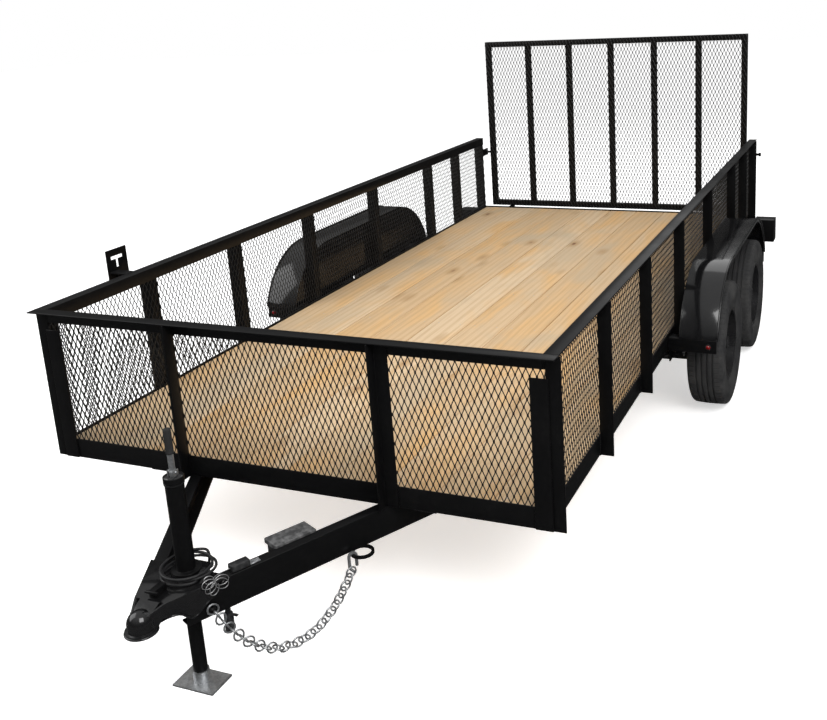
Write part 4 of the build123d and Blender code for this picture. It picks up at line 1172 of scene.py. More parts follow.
@dataclass
class Tyres:
    """Trailer tyres: a crowned tread of ribs and grooves, notched shoulders and bulging walls."""

    pitches: int = 72
    ribs: int = 5
    groove_width: float = 8.0 * MILLIMETRE
    groove_depth: float = 7.0 * MILLIMETRE
    groove_slope: float = 1.5 * MILLIMETRE
    crown: float = 5.0 * MILLIMETRE
    notch_depth: float = 2.2 * MILLIMETRE
    notch_share: float = 0.22
    notch_floor: tuple[float, float] = (0.8, 0.2)
    ridge: float = 1.2 * MILLIMETRE
    ridge_steps: int = 5
    shoulder: float = 26.0 * MILLIMETRE
    shoulder_reach: float = 0.86
    bulge_start: float = 0.36
    bulge_power: float = 0.8
    bead_inset: float = 22.0 * MILLIMETRE
    wall_steps: int = 14
    shoulder_steps: int = 4
    groove_turn: float = math.radians(35.0)

    def section(
        self, radius: float, half_width: float, bead_radius: float, notch: float
    ) -> list[tuple[float, float]]:
        """Half of the tyre's section, from the middle of the tread to the bead.

        Args:
            radius: Outer radius.
            half_width: Half of the width over the walls.
            bead_radius: Radius at the bead.
            notch: Depth of the shoulder's notch at this place.

        Returns:
            Points as (distance from the middle plane, radius).
        """
        tread_half = half_width - self.shoulder
        rib = 2 * tread_half / self.ribs
        points: list[tuple[float, float]] = [(0.0, radius)]
        edges = [rib * (number + 0.5) for number in range(self.ribs // 2)]
        for middle in edges:
            near = middle - self.groove_width / 2
            far = middle + self.groove_width / 2
            groove = (
                (near, 0.0),
                (near + self.groove_slope, self.groove_depth),
                (far - self.groove_slope, self.groove_depth),
                (far, 0.0),
            )
            for x, deep in groove:
                points.append((x, radius - self.crown * (x / half_width) ** 2 - deep))
        edge_radius = radius - self.crown * (tread_half / half_width) ** 2
        points.append((tread_half, edge_radius - notch))
        for number in range(1, self.shoulder_steps + 1):
            turn = math.pi / 2 * number / (self.shoulder_steps + 1)
            reach = self.shoulder * math.sin(turn) * self.shoulder_reach
            level = edge_radius - self.shoulder * (1 - math.cos(turn))
            cut = notch * (1 - number / self.shoulder_steps)
            points.append((tread_half + reach, level - cut))
        wall_top = edge_radius - self.shoulder
        for number in range(self.wall_steps + 1):
            share = number / self.wall_steps
            phase = self.bulge_start + (1.0 - self.bulge_start) * share
            bulge = math.sin(math.pi * phase) ** self.bulge_power if share < 1 else 0.0
            x = half_width - self.bead_inset + self.bead_inset * bulge
            x -= self.ridge * (number % self.ridge_steps == 0)
            points.append((x, wall_top + (bead_radius - wall_top) * share))
        return points

    def slice(self, radius: float, half_width: float, bead_radius: float) -> bpy.types.Object:
        """One pitch of the tread with its walls, about the X axis, starting at the top.

        Args:
            radius: Outer radius.
            half_width: Half of the width over the walls.
            bead_radius: Radius at the bead.

        Returns:
            An object that isn't in the scene.
        """
        draft = bmesh.new()
        step = 2 * math.pi / self.pitches
        floor = [(1.0 - share * self.notch_share, self.notch_depth) for share in self.notch_floor]
        stations = [(0.0, 0.0), (1.0 - self.notch_share, 0.0), *floor, (1.0, 0.0)]
        rows = []
        for share, notch in stations:
            turn = Matrix.Rotation(step * share, 3, "X")
            half = self.section(radius, half_width, bead_radius, notch)
            whole = [(-x, r) for x, r in reversed(half[1:])] + half
            rows.append([draft.verts.new(turn @ Vector((x, 0.0, r))) for x, r in whole])
        for near, far in zip(rows, rows[1:]):
            for number in range(len(near) - 1):
                draft.faces.new((near[number], near[number + 1], far[number + 1], far[number]))
            draft.faces.new((near[-1], near[0], far[0], far[-1]))
        return bpy.data.objects.new("tread_pitch", mesh_of("tread_pitch", draft))

    def dress(self, finishes: Finishes, tree: SetOutTree) -> None:
        """Build the four tyres.

        Args:
            finishes: The trailer's materials.
            tree: The tree that sets out small shapes.
        """
        for place in ("front", "rear"):
            for side in Side:
                node = f"tyre_{place}_{side.word}"
                low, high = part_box(node)
                middle = (low + high) / 2
                size = high - low
                bead = min(math.hypot(p.y - middle.y, p.z - middle.z) for p in islands(node)[0])
                pitch = self.slice(size.z / 2, size.x / 2, bead)
                turns = [
                    Matrix.Translation(middle) @ Matrix.Rotation(2 * math.pi * number / self.pitches, 4, "X")
                    for number in range(self.pitches)
                ]
                piece = tree.set_out(f"{node}_tread", pitch, turns, finishes["tyre_rubber"])
                self.turn_outward(piece.data)
                settle(piece, f"wheel_{place}_{side.word}", [node])
                bpy.data.objects.remove(pitch)

    def turn_outward(self, mesh: bpy.types.Mesh) -> None:
        """Point a closed mesh's faces outward and shade it smooth but for the grooves."""
        draft = bmesh.new()
        draft.from_mesh(mesh)
        bmesh.ops.recalc_face_normals(draft, faces=draft.faces)
        draft.to_mesh(mesh)
        draft.free()
        mesh.shade_smooth()
        mesh.set_sharp_from_angle(angle=self.groove_turn)


@dataclass
class SafetyChain:
    """Welded round-wire links in the places of the model's own links."""

    wire: float = 3.0 * MILLIMETRE
    link_corners: int = 16
    rim_share: float = 0.98
    end_turn: float = math.radians(45.0)
    smooth_turn: float = math.radians(60.0)
    hook_flat: float = math.radians(1.0)
    hook_edge: float = 2.4 * MILLIMETRE
    hook_segments: int = 3
    ring_wire: float = 4.2 * MILLIMETRE
    ring_steps: int = 40
    sides: int = 8
    bend_steps: int = 6

    def link(self, length: float, width: float) -> bpy.types.Object:
        """One stadium-shaped link along X, its face along Z.

        Args:
            length: Outer length.
            width: Outer width.

        Returns:
            An object that isn't in the scene.
        """
        draft = bmesh.new()
        bend = width / 2 - self.wire
        straight = length / 2 - width / 2
        turns = [2 * math.pi * corner / self.sides for corner in range(self.sides)]
        rings = []
        for end in (1, -1):
            for number in range(self.bend_steps + 1):
                turn = math.pi * number / self.bend_steps - math.pi / 2
                outward = Vector((math.cos(turn) * end, math.sin(turn) * end, 0.0))
                centre = Vector((straight * end, 0.0, 0.0)) + outward * bend
                rings.append([
                    draft.verts.new(
                        centre
                        + outward * (self.wire * math.cos(around))
                        + Vector((0.0, 0.0, self.wire * math.sin(around)))
                    )
                    for around in turns
                ])
        skin(draft, rings, closed=True)
        bmesh.ops.recalc_face_normals(draft, faces=draft.faces)
        return bpy.data.objects.new("chain_link", mesh_of("chain_link", draft, self.smooth_turn))

    def seat(self, points: Sequence[Vector]) -> tuple[Matrix, Vector]:
        """Place, turn and size of one of the model's links.

        Args:
            points: Corner points of the link.

        Returns:
            The link's matrix, with X along it and Z across its face, and its three sizes.
        """
        middle = sum(points, Vector()) / len(points)
        thin = min(
            (Vector(p) - Vector(q) for p in points for q in points if p != q), key=lambda gap: gap.length
        ).normalized()
        flat = [point - middle - thin * (point - middle).dot(thin) for point in points]
        reach = max(p.length for p in flat)
        rim = [p for p in flat if p.length > self.rim_share * reach]
        first = rim[0]
        ends = [p if p.dot(first) > 0 else -p for p in rim]
        inner = [p for p in ends if p.angle(first) < self.end_turn]
        along = sum(inner, Vector()).normalized()
        across = thin.cross(along)
        sizes = Vector([max(p.dot(axis) for p in flat) * 2 for axis in (along, across, thin)])
        turn = Matrix((along, across, thin)).transposed().to_4x4()
        return Matrix.Translation(middle) @ turn, sizes

    def dress(self, finishes: Finishes, tree: SetOutTree) -> None:
        """Build the chain.

        Args:
            finishes: The trailer's materials.
            tree: The tree that sets out small shapes.
        """
        seats = [self.seat(points) for points in islands("safety_chain") if len(points) == self.link_corners]
        sizes = seats[0][1]
        link = self.link(sizes.x, sizes.y)
        places = [place for place, _ in seats]
        piece = tree.set_out("safety_chain_links", link, places, finishes["zinc"])
        piece.data.shade_smooth()
        settle(piece, Body.CHASSIS.value, ["safety_chain"])
        bpy.data.objects.remove(link)
        self.hook(finishes)
        self.holders(finishes)

    def hook(self, finishes: Finishes) -> None:
        """Build the hook at the chain's end from its own solid, with round edges."""
        draft = merged_copy("safety_chain")
        links = [vert for part in loose_parts(draft) if len(part) == self.link_corners for vert in part]
        bmesh.ops.delete(draft, geom=links, context="VERTS")
        bmesh.ops.dissolve_limit(draft, angle_limit=self.hook_flat, verts=draft.verts, edges=draft.edges)
        ease_edges(draft, self.hook_edge, self.hook_segments, self.smooth_turn)
        fit_on_chassis("safety_chain_hook", draft, finishes["zinc"])

    def holders(self, finishes: Finishes) -> None:
        """Build the round ring that the hook hangs on, and the stud."""
        draft = merged_copy("chain_holders")
        ring = max(loose_parts(draft), key=len)
        low, high = box_of([vert.co for vert in ring])
        middle = (low + high) / 2
        bmesh.ops.delete(draft, geom=ring, context="VERTS")
        radius = (high.x - low.x) / 2 - self.ring_wire
        turns = [2 * math.pi * step / self.ring_steps for step in range(self.ring_steps)]
        path = [middle + radius * Vector((math.cos(a), math.sin(a), 0.0)) for a in turns]
        add_tube(draft, path, self.ring_wire, self.sides, closed=True)
        steel = finishes["black_steel"]
        fit_on_chassis("chain_holders_round", draft, steel, ["chain_holders"])


def cord_curve(name: str, points: Sequence[Vector], diameter: float) -> bpy.types.Object:
    """A smooth round cord with points as its control points.

    Args:
        name: The object's name.
        points: Control points from its exit to its far end.
        diameter: The cord's diameter.

    Returns:
        The curve object.
    """
    data = bpy.data.curves.new(name, "CURVE")
    data.dimensions = "3D"
    data.bevel_depth = diameter / 2
    data.bevel_resolution = CORD_BEVEL
    data.resolution_u = CORD_STEPS
    data.use_fill_caps = True
    spline = data.splines.new("NURBS")
    spline.points.add(len(points) - 1)
    for item, point in zip(spline.points, points):
        item.co = (*point, 1.0)
    spline.order_u = CORD_ORDER
    spline.use_endpoint_u = True
    made = bpy.data.objects.new(name, data)
    bpy.context.scene.collection.objects.link(made)
    return made


@dataclass
class Harness:
    """Wiring harness: up through the coupler's plate, loosely wound round the jack, then down to its plug."""

    diameter: float = 8.6 * MILLIMETRE
    length: float = 1.56
    middle: Vector = field(default_factory=lambda: Vector((0.012, -2.338, 0.390)))
    entry: tuple[Place, ...] = (
        (0.048, 0.004, 0.0), (0.048, 0.003, 0.012), (0.054, -0.018, 0.010),
    )
    start: float = math.radians(-35.0)
    sweep: float = math.radians(955.0)
    mean_radius: float = 79.0 * MILLIMETRE
    wander: float = 6.0 * MILLIMETRE
    lobes: float = 1.5
    still: float = math.radians(235.0)
    turn_points: int = 14
    climb: float = 8.9 * MILLIMETRE
    rest: float = 4.5 * MILLIMETRE
    leave: float = math.radians(70.0)
    leave_out: float = 8.0 * MILLIMETRE
    drop: tuple[Place, ...] = (
        (0.009, 0.088, 0.020), (0.011, 0.088, 0.002), (0.006, 0.086, -0.022),
        (0.0, 0.084, -0.050), (0.060, 0.080, -0.112), (0.060, 0.080, -0.160),
    )
    plug_sides: int = 28
    # Outlines in shares of the plug's radius and of its height.
    plug_neck: Outline = (
        (0.0, 1.0), (0.3, 1.0), (0.6, 0.95), (0.6, 0.78), (0.8, 0.77), (0.94, 0.75),
    )
    plug_rib: Outline = ((0.94, 0.0), (1.0, -0.01), (1.0, -0.05), (0.94, -0.06))
    plug_rib_levels: tuple[float, ...] = (0.68, 0.6, 0.52, 0.44, 0.36, 0.28)
    plug_mouth: Outline = (
        (0.94, 0.1), (1.0, 0.08), (1.0, 0.01), (0.92, 0.0), (0.8, 0.0), (0.8, 0.06), (0.0, 0.06),
    )
    tab_half_width: float = 0.3
    tab_levels: tuple[float, float] = (0.7, 0.75)
    # Radius in radii of the cord, and height.
    sleeve: Outline = (
        (2.3, 0.0), (2.3, 0.003), (1.5, 0.006), (1.15, 0.012), (0.0, 0.012),
    )

    def turns(self) -> list[Vector]:
        """Control points of the loose turns, which fan in and out as they climb."""
        count = round(self.sweep / (2 * math.pi) * self.turn_points)
        points = []
        for number in range(count + 1):
            turn = self.sweep * number / count
            out = max(0.0, (turn - self.sweep + self.leave) / self.leave) * self.leave_out
            radius = self.mean_radius + self.wander * math.sin(self.lobes * (turn - self.still)) + out
            angle = self.start - turn
            height = self.rest + self.climb * turn / (2 * math.pi)
            points.append(Vector((radius * math.cos(angle), radius * math.sin(angle), height)))
        return points

    def plug(self, finishes: Finishes) -> bpy.types.Object:
        """The plug: a ribbed barrel with a neck and a lifting tab."""
        low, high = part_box("harness_plug")
        end = self.middle + Vector(self.drop[-1])
        barrel = end.y - low.y
        height = high.z - low.z
        ribs = [(share, level + rise) for level in self.plug_rib_levels for share, rise in self.plug_rib]
        outline = [*self.plug_neck, *ribs, *self.plug_mouth]
        profile = [(share * barrel, level * height) for share, level in outline]
        draft = bmesh.new()
        add_turned(draft, profile, Matrix.Translation((end.x, end.y, low.z)), self.plug_sides)
        half = self.tab_half_width * barrel
        bottom, top = (low.z + level * height for level in self.tab_levels)
        add_box(draft, Vector((end.x, end.y - half, bottom)), Vector((high.x, end.y + half, top)))
        plastic = finishes["box_plastic"]
        return fit_on_chassis("harness_plug_ribbed", draft, plastic, ["harness_plug"])

    def grommet(self, finishes: Finishes) -> None:
        """Rubber sleeve where the harness comes up through the plate."""
        radius = self.diameter / 2
        profile = [(share * radius, height) for share, height in self.sleeve]
        draft = bmesh.new()
        add_turned(draft, profile, Matrix.Translation(self.middle + Vector(self.entry[0])), self.plug_sides)
        fit_on_chassis("harness_grommet", draft, finishes["grip_rubber"])

    def dress(self, finishes: Finishes) -> None:
        """Build the harness and its plug.

        Args:
            finishes: The trailer's materials.
        """
        entry = [Vector(point) for point in self.entry]
        drop = [Vector(point) for point in self.drop]
        route = [self.middle + point for point in entry + self.turns() + drop]
        cable = cord_curve("harness", route, self.diameter)
        cable.data.materials.append(finishes["cable_black"])
        settle(cable, Body.CHASSIS.value, ["harness_coil", "harness_cable"])
        plug = self.plug(finishes)
        self.grommet(finishes)


class TongueSide:
    """Frame along the outer face of the right tongue channel: X back along it, Y inward, Z up."""

    TURN = math.radians(27.0)
    BACK = Vector((math.sin(TURN), math.cos(TURN), 0.0))
    INWARD = Vector((-math.cos(TURN), math.sin(TURN), 0.0))
    UP = Vector((0.0, 0.0, 1.0))

    @classmethod
    def point(cls, origin: Vector, local: Sequence[float]) -> Vector:
        """Point of the model for a local one about an origin."""
        return origin + cls.BACK * local[0] + cls.INWARD * local[1] + Vector((0.0, 0.0, local[2]))

    @classmethod
    def extent(cls, node: str) -> tuple[Vector, Vector, Matrix]:
        """Lowest and highest corner of a node in this frame about the model's origin, and its matrix."""
        turn = Matrix((cls.BACK, cls.INWARD, cls.UP)).transposed().to_4x4()
        back = turn.inverted()
        low, high = box_of([back @ point for points in islands(node) for point in points])
        return low, high, turn


@dataclass
class Lanyard:
    """Breakaway lanyard: a thin wire from the switch, gathered in a bow of narrow loops."""

    diameter: float = 2.4 * MILLIMETRE
    length: float = 0.72
    exit: Vector = field(default_factory=lambda: Vector((0.12918, -2.29331, 0.395)))
    lead: tuple[Place, ...] = (
        (0.0, 0.0, 0.0), (-0.022, 0.0, 0.0), (-0.046, -0.004, 0.0), (-0.064, -0.015, 0.0),
    )
    knot: Place = (-0.064, -0.0265, 0.0)
    petals: tuple[tuple[float, float], ...] = (
        (-0.015, 0.009), (0.022, -0.005), (-0.021, 0.0), (0.019, -0.013), (-0.017, -0.011), (-0.008, -0.018),
    )
    slimness: float = 0.7
    petal_points: int = 13
    layer: float = 2.6 * MILLIMETRE

    def loops(self) -> list[Vector]:
        """Control points of the bow's loops, each through the knot and a layer further out."""
        points = []
        for number, (along, up) in enumerate(self.petals):
            for step in range(self.petal_points):
                share = step / self.petal_points
                turn = math.pi + 2 * math.pi * share
                major = 1.0 + math.cos(turn)
                minor = -math.copysign(self.slimness, along) * math.sin(turn)
                points.append(Vector((
                    self.knot[0] + along * major - up * minor,
                    self.knot[1] - self.layer * (number + share),
                    self.knot[2] + up * major + along * minor,
                )))
        return points

    def dress(self, finishes: Finishes) -> None:
        """Build the lanyard.

        Args:
            finishes: The trailer's materials.
        """
        local = [Vector(point) for point in self.lead] + self.loops()
        route = [TongueSide.point(self.exit, point) for point in local]
        wire = cord_curve("lanyard_wire", route, self.diameter)
        wire.data.materials.append(finishes["lanyard_wire"])
        settle(wire, Body.CHASSIS.value, ["lanyard", "lanyard_bow"])


@dataclass
class TongueFittings:
    """Small pieces on the tongue: battery lid, switch bracket, jack cap and crank pivot."""

    lid_depth: float = 16.0 * MILLIMETRE
    lid_over: float = 1.5 * MILLIMETRE
    lid_edge: float = 4.0 * MILLIMETRE
    lid_segments: int = 3
    plate: float = 2.5 * MILLIMETRE
    plate_edge: float = 0.625 * MILLIMETRE
    bracket_inset: float = 1.0 / 6.0
    bracket_reach: float = 36.0 * MILLIMETRE
    bracket_rise: float = 15.0 * MILLIMETRE
    bolt_radius: float = 5.5 * MILLIMETRE
    bolt_height: float = 4.0 * MILLIMETRE
    bolt_sides: int = 6
    bolt_shares: tuple[float, float] = (0.4, 0.8)
    cap_depth: float = 16.0 * MILLIMETRE
    cap_over: float = 2.0 * MILLIMETRE
    cap_flat: float = 0.8
    cap_sides: int = 40
    # Bands round the tube: share of the cap's overhang, and level in depths of the cap.
    cap_bands: Outline = (
        (0.0, -1.6), (1.0, -1.5), (1.0, -1.2), (0.0, -1.1), (0.0, -0.8), (1.0, -0.7),
    )
    tube_radius: float = 28.5 * MILLIMETRE
    cheek: float = 3.0 * MILLIMETRE
    cheek_rise: float = 20.0 * MILLIMETRE
    pin_radius: float = 4.0 * MILLIMETRE
    pin_level: float = 0.6
    pin_sides: int = 12

    def lid(self, finishes: Finishes) -> None:
        """Build the battery box's lid, a shallow cover with a rounded rim."""
        low, high, place = TongueSide.extent("battery_box")
        over = Vector((self.lid_over, self.lid_over, self.lid_over))
        draft = bmesh.new()
        add_box(draft, Vector((low.x, low.y, high.z - self.lid_depth)) - over, high + over)
        ease_edges(draft, self.lid_edge, self.lid_segments, SHARP_TURN)
        bmesh.ops.transform(draft, matrix=place, verts=draft.verts)
        fit_on_chassis("battery_lid", draft, finishes["lid_plastic"])

    def bracket(self, finishes: Finishes) -> None:
        """Build the plated bracket that holds the breakaway switch, with its two bolts."""
        low, high, place = TongueSide.extent("breakaway_switch")
        inset = (high.y - low.y) * self.bracket_inset
        start = Vector((high.x, low.y + inset, low.z))
        end = Vector((high.x + self.bracket_reach, high.y - inset, low.z + self.plate))
        draft = bmesh.new()
        add_box(draft, start, end)
        add_box(draft, start, Vector((start.x + self.plate, end.y, start.z + self.bracket_rise)))
        ease_edges(draft, self.plate_edge, 1, SHARP_TURN)
        rim = [(self.bolt_radius, self.bolt_height), (self.bolt_radius, 0.0)]
        head = [(0.0, self.bolt_height), *rim, (0.0, 0.0)]
        for share in self.bolt_shares:
            spot = Vector((start.x + share * self.bracket_reach, (start.y + end.y) / 2, end.z))
            add_turned(draft, head, Matrix.Translation(spot), self.bolt_sides)
        bmesh.ops.transform(draft, matrix=place, verts=draft.verts)
        fit_on_chassis("switch_bracket", draft, finishes["zinc"])

    def jack_head(self, finishes: Finishes) -> None:
        """Build the cap on the jack's tube and the pivot of its crank."""
        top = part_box("jack_housing")[1].z
        low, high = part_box("jack_crank")
        middle = Vector(((low.x + high.x) / 2, (low.y + high.y) / 2, top))
        outer = self.tube_radius + self.cap_over
        bands = [
            (self.tube_radius + over * self.cap_over, level * self.cap_depth)
            for over, level in self.cap_bands
        ]
        profile = [
            *bands,
            (outer, -self.cap_over),
            (outer - self.cap_over, 0.0),
            (self.cap_flat * self.tube_radius, self.cap_over),
            (0.0, self.cap_over),
        ]
        cap = bmesh.new()
        add_turned(cap, profile, Matrix.Translation(middle), self.cap_sides)
        fit_on_chassis("jack_cap", cap, finishes["fender_gloss"])

        half = (high.x - low.x) / 2
        depth = (high.y - low.y) / 2
        pivot = bmesh.new()
        for side in Side:
            near, far = sorted((side.value * half, side.value * (half + self.cheek)))
            corners = (Vector((near, -depth, 0.0)), Vector((far, depth, self.cheek_rise)))
            add_box(pivot, *(middle + corner for corner in corners))
        reach = half + 2 * self.cheek
        height = Vector((0.0, 0.0, self.pin_level * self.cheek_rise))
        ends = [middle + height + Vector((side.value * reach, 0.0, 0.0)) for side in Side]
        add_tube(pivot, ends, self.pin_radius, self.pin_sides)
        fit_on_chassis("jack_crank_pivot", pivot, finishes["zinc"])

    def dress(self, finishes: Finishes) -> None:
        """Build all of the fittings.

        Args:
            finishes: The trailer's materials.
        """
        self.lid(finishes)
        self.bracket(finishes)
        self.jack_head(finishes)


@dataclass
class CouplerLip:
    """Rolled lip along the lower edge of the coupler's skirts and round its nose."""

    radius: float = 3.4 * MILLIMETRE
    nose: float = 46.7 * MILLIMETRE
    rear_gap: float = 6.0 * MILLIMETRE
    reach: float = 400.0 * MILLIMETRE
    rise: float = 1.0 * MILLIMETRE
    side_stations: int = 30
    nose_stations: int = 16

    def stations(self, low: Vector, high: Vector) -> list[tuple[Vector, Vector]]:
        """Point to look from and direction to look in for each place along the lip, from right to left.

        Args:
            low: Lowest corner of the coupler's box.
            high: Highest corner of it.

        Returns:
            The pairs, all at height zero.
        """
        ball = Vector((0.0, low.y + self.nose, 0.0))
        back = high.y - self.rear_gap
        found = []
        for side in (Side.RIGHT, Side.LEFT):
            across = Vector((side.value, 0.0, 0.0))
            run = [
                back + (ball.y - back) * number / self.side_stations
                for number in range(self.side_stations)
            ]
            lateral = [(Vector((0.0, y, 0.0)) + across * self.reach, -across) for y in run]
            if side is Side.LEFT:
                found += reversed(lateral)
                continue
            found += lateral
            for number in range(self.nose_stations + 1):
                turn = math.pi * number / self.nose_stations
                outward = Vector((math.cos(turn), -math.sin(turn), 0.0))
                found.append((ball + outward * self.reach, -outward))
        return found

    def path(self) -> list[Vector]:
        """Lowest point of the coupler's outer side at each station, smoothed."""
        draft = merged_copy("coupler")
        solid = BVHTree.FromBMesh(draft)
        draft.free()
        low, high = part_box("coupler")
        levels = [low.z + self.rise * number for number in range(1, int((high.z - low.z) / self.rise))]
        edge = []
        for start, inward in self.stations(low, high):
            hits = (solid.ray_cast(start + Vector((0.0, 0.0, z)), inward, self.reach)[0] for z in levels)
            first = next((hit for hit in hits if hit is not None), None)
            if first is not None:
                edge.append(first)
        smooth = [(a + 2 * b + c) / 4 for a, b, c in zip(edge, edge[1:], edge[2:])]
        return [edge[0], *smooth, edge[-1]]

    def dress(self, finishes: Finishes) -> None:
        """Build the lip.

        Args:
            finishes: The trailer's materials.
        """
        draft = bmesh.new()
        add_tube(draft, self.path(), self.radius)
        fit_on_chassis("coupler_lip", draft, finishes["fender_gloss"], smooth_angle=math.pi)


@dataclass
class FenderBeads:
    """Rolled edge along the outer side of each fender."""

    radius: float = 4.6 * MILLIMETRE
    slack: float = 1.0 * MILLIMETRE
    places: int = 4

    def path(self, side: Side) -> list[Vector]:
        """Points along the outer edge of one fender, from front to rear."""
        points = [point for part in islands(f"fender_{side.word}") for point in part]
        reach = max(point.x * side.value for point in points)
        hubs = [sum(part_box(f"tyre_{axle}_{side.word}"), Vector()) / 2 for axle in ("front", "rear")]
        edge = {}
        for point in points:
            if point.x * side.value < reach - self.slack:
                continue
            near = Vector((point.x, min(max(point.y, hubs[0].y), hubs[1].y), hubs[0].z))
            spot = (round(point.y, self.places), round(point.z, self.places))
            edge[spot] = ((point - near).length, point)
        outside = max(away for away, point in edge.values())
        rim = [point for away, point in edge.values() if away > outside - self.slack]
        return sorted(rim, key=lambda point: point.y)

    def dress(self, finishes: Finishes) -> None:
        """Build both edges.

        Args:
            finishes: The trailer's materials.
        """
        for side in Side:
            draft = bmesh.new()
            add_tube(draft, self.path(side), self.radius)
            fit_on_chassis(f"fender_edge_{side.word}", draft, finishes["fender_gloss"])


@dataclass
class MarkerLamps:
    """Clearance lamps on the front fender brackets: a domed lens in a rubber ring."""

    ring_share: float = 0.35
    ring_wall: float = 0.7
    ring_top: float = 0.9
    lens_share: float = 0.72
    dome_steps: int = 6

    def dress(self, finishes: Finishes) -> None:
        """Build both lamps.

        Args:
            finishes: The trailer's materials.
        """
        rings = bmesh.new()
        lenses = bmesh.new()
        for points in islands("marker_lamps"):
            low, high = box_of(points)
            radius = (high.x - low.x) / 2
            depth = high.y - low.y
            seat = Vector(((low.x + high.x) / 2, high.y, (low.z + high.z) / 2))
            place = axes_matrix(seat, Vector((0.0, -1.0, 0.0)), Vector((1.0, 0.0, 0.0)))
            lens = self.lens_share * radius
            step = self.ring_share * depth
            outer = [(radius, 0.0), (radius, self.ring_wall * step), (self.ring_top * radius, step)]
            add_turned(rings, [*outer, (lens, step), (lens, 0.0)], place)
            turns = [math.pi / 2 * number / self.dome_steps for number in range(self.dome_steps)]
            dome = [(lens * math.cos(turn), step + (depth - step) * math.sin(turn)) for turn in turns]
            add_turned(lenses, [(lens, 0.0), *dome, (0.0, depth)], place)
        fit_on_chassis("marker_lamp_rings", rings, finishes["grip_rubber"])
        fit_on_chassis("marker_lamp_lenses", lenses, finishes["red_lens"], ["marker_lamps"])


@dataclass
class LugNuts:
    """Five plated nuts that hold each wheel to its hub."""

    count: int = 5
    circle: float = 57.2 * MILLIMETRE
    radius: float = 11.0 * MILLIMETRE
    height: float = 17.0 * MILLIMETRE
    disc: float = 5.0 * MILLIMETRE
    seat: float = 1.0 * MILLIMETRE
    hexagon: float = 0.75
    top: float = 0.7
    sides: int = 6
    smooth_turn: float = math.radians(30.0)

    def nut(self) -> bpy.types.Object:
        """One hexagonal nut standing on Z, its seat a little under its place."""
        draft = bmesh.new()
        profile = [
            (0.0, -self.seat),
            (self.radius, -self.seat),
            (self.radius, self.hexagon * self.height),
            (self.top * self.radius, self.height),
            (0.0, self.height),
        ]
        add_turned(draft, profile, Matrix.Identity(4), self.sides)
        bmesh.ops.recalc_face_normals(draft, faces=draft.faces)
        return bpy.data.objects.new("lug_nut", mesh_of("lug_nut", draft, self.smooth_turn))

    def dress(self, finishes: Finishes, tree: SetOutTree) -> None:
        """Build the nuts of all four wheels.

        Args:
            finishes: The trailer's materials.
            tree: The tree that sets out small shapes.
        """
        nut = self.nut()
        for axle in ("front", "rear"):
            for side in Side:
                low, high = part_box(f"tyre_{axle}_{side.word}")
                middle = (low + high) / 2
                outward = Vector((side.value, 0.0, 0.0))
                places = []
                for number in range(self.count):
                    turn = 2 * math.pi * number / self.count
                    spoke = Vector((0.0, math.cos(turn), math.sin(turn)))
                    seat = middle + outward * self.disc + spoke * self.circle
                    places.append(axes_matrix(seat, outward, spoke))
                piece = tree.set_out(f"lug_nuts_{axle}_{side.word}", nut, places, finishes["zinc"])
                settle(piece, f"wheel_{axle}_{side.word}")
        bpy.data.objects.remove(nut)


@dataclass
class Welds:
    """Weld beads where the posts cross the bed's rails and where the tongue meets the front rail."""

    radius: float = 3.0 * MILLIMETRE
    pitch: float = 4.2 * MILLIMETRE
    flatness: float = 0.6
    drop_sides: int = 8
    drop_bands: int = 5
    # Where a tongue bead starts and ends, in shares of the way from the tongue's side to the middle.
    tongue_span: tuple[float, float] = (0.2, 0.3)

    def drop(self) -> bpy.types.Object:
        """One drop of a bead."""
        draft = bmesh.new()
        bmesh.ops.create_uvsphere(
            draft, u_segments=self.drop_sides, v_segments=self.drop_bands, radius=self.radius
        )
        bmesh.ops.scale(draft, vec=(1.0, 1.0, self.flatness), verts=draft.verts)
        return bpy.data.objects.new("weld_drop", mesh_of("weld_drop", draft, math.pi))

    def seams(self) -> list[tuple[Vector, Vector]]:
        """Start and end of each bead."""
        found = []
        for side in Side:
            rail_low, rail_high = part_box(f"rail_{side.word}")
            face = rail_high.x if side is Side.RIGHT else rail_low.x
            for points in islands(f"posts_{side.word}"):
                low, high = box_of(points)
                for y in (low.y, high.y):
                    found.append((Vector((face, y, rail_low.z)), Vector((face, y, rail_high.z))))
            tongue_low, tongue_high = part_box(f"tongue_{side.word}")
            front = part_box("rail_front")[0]
            near = tongue_low.x if side is Side.LEFT else tongue_high.x
            start, end = (near - side.value * share * abs(near) for share in self.tongue_span)
            found.append((Vector((start, front.y, front.z)), Vector((end, front.y, front.z))))
        return found

    def dress(self, finishes: Finishes, tree: SetOutTree) -> None:
        """Build every bead.

        Args:
            finishes: The trailer's materials.
            tree: The tree that sets out small shapes.
        """
        drop = self.drop()
        places = []
        for start, end in self.seams():
            count = int((end - start).length / self.pitch)
            places += [Matrix.Translation(start.lerp(end, number / count)) for number in range(count + 1)]
        piece = tree.set_out("weld_beads", drop, places, finishes["black_steel"])
        piece.data.shade_smooth()
        settle(piece, Body.CHASSIS.value)
        bpy.data.objects.remove(drop)


class OwnSolids:
    """Nodes whose own solids show, each given its finish."""

    @staticmethod
    def dress(finishes: Finishes) -> None:
        """Give every node the material of its slot in the record.

        Args:
            finishes: The trailer's materials.
        """
        for row in frame["record"]["subparts"]:
            node = frame["nodes"][row["node"]]
            node.data.materials.clear()
            node.data.materials.append(finishes[row["material_slot"]])


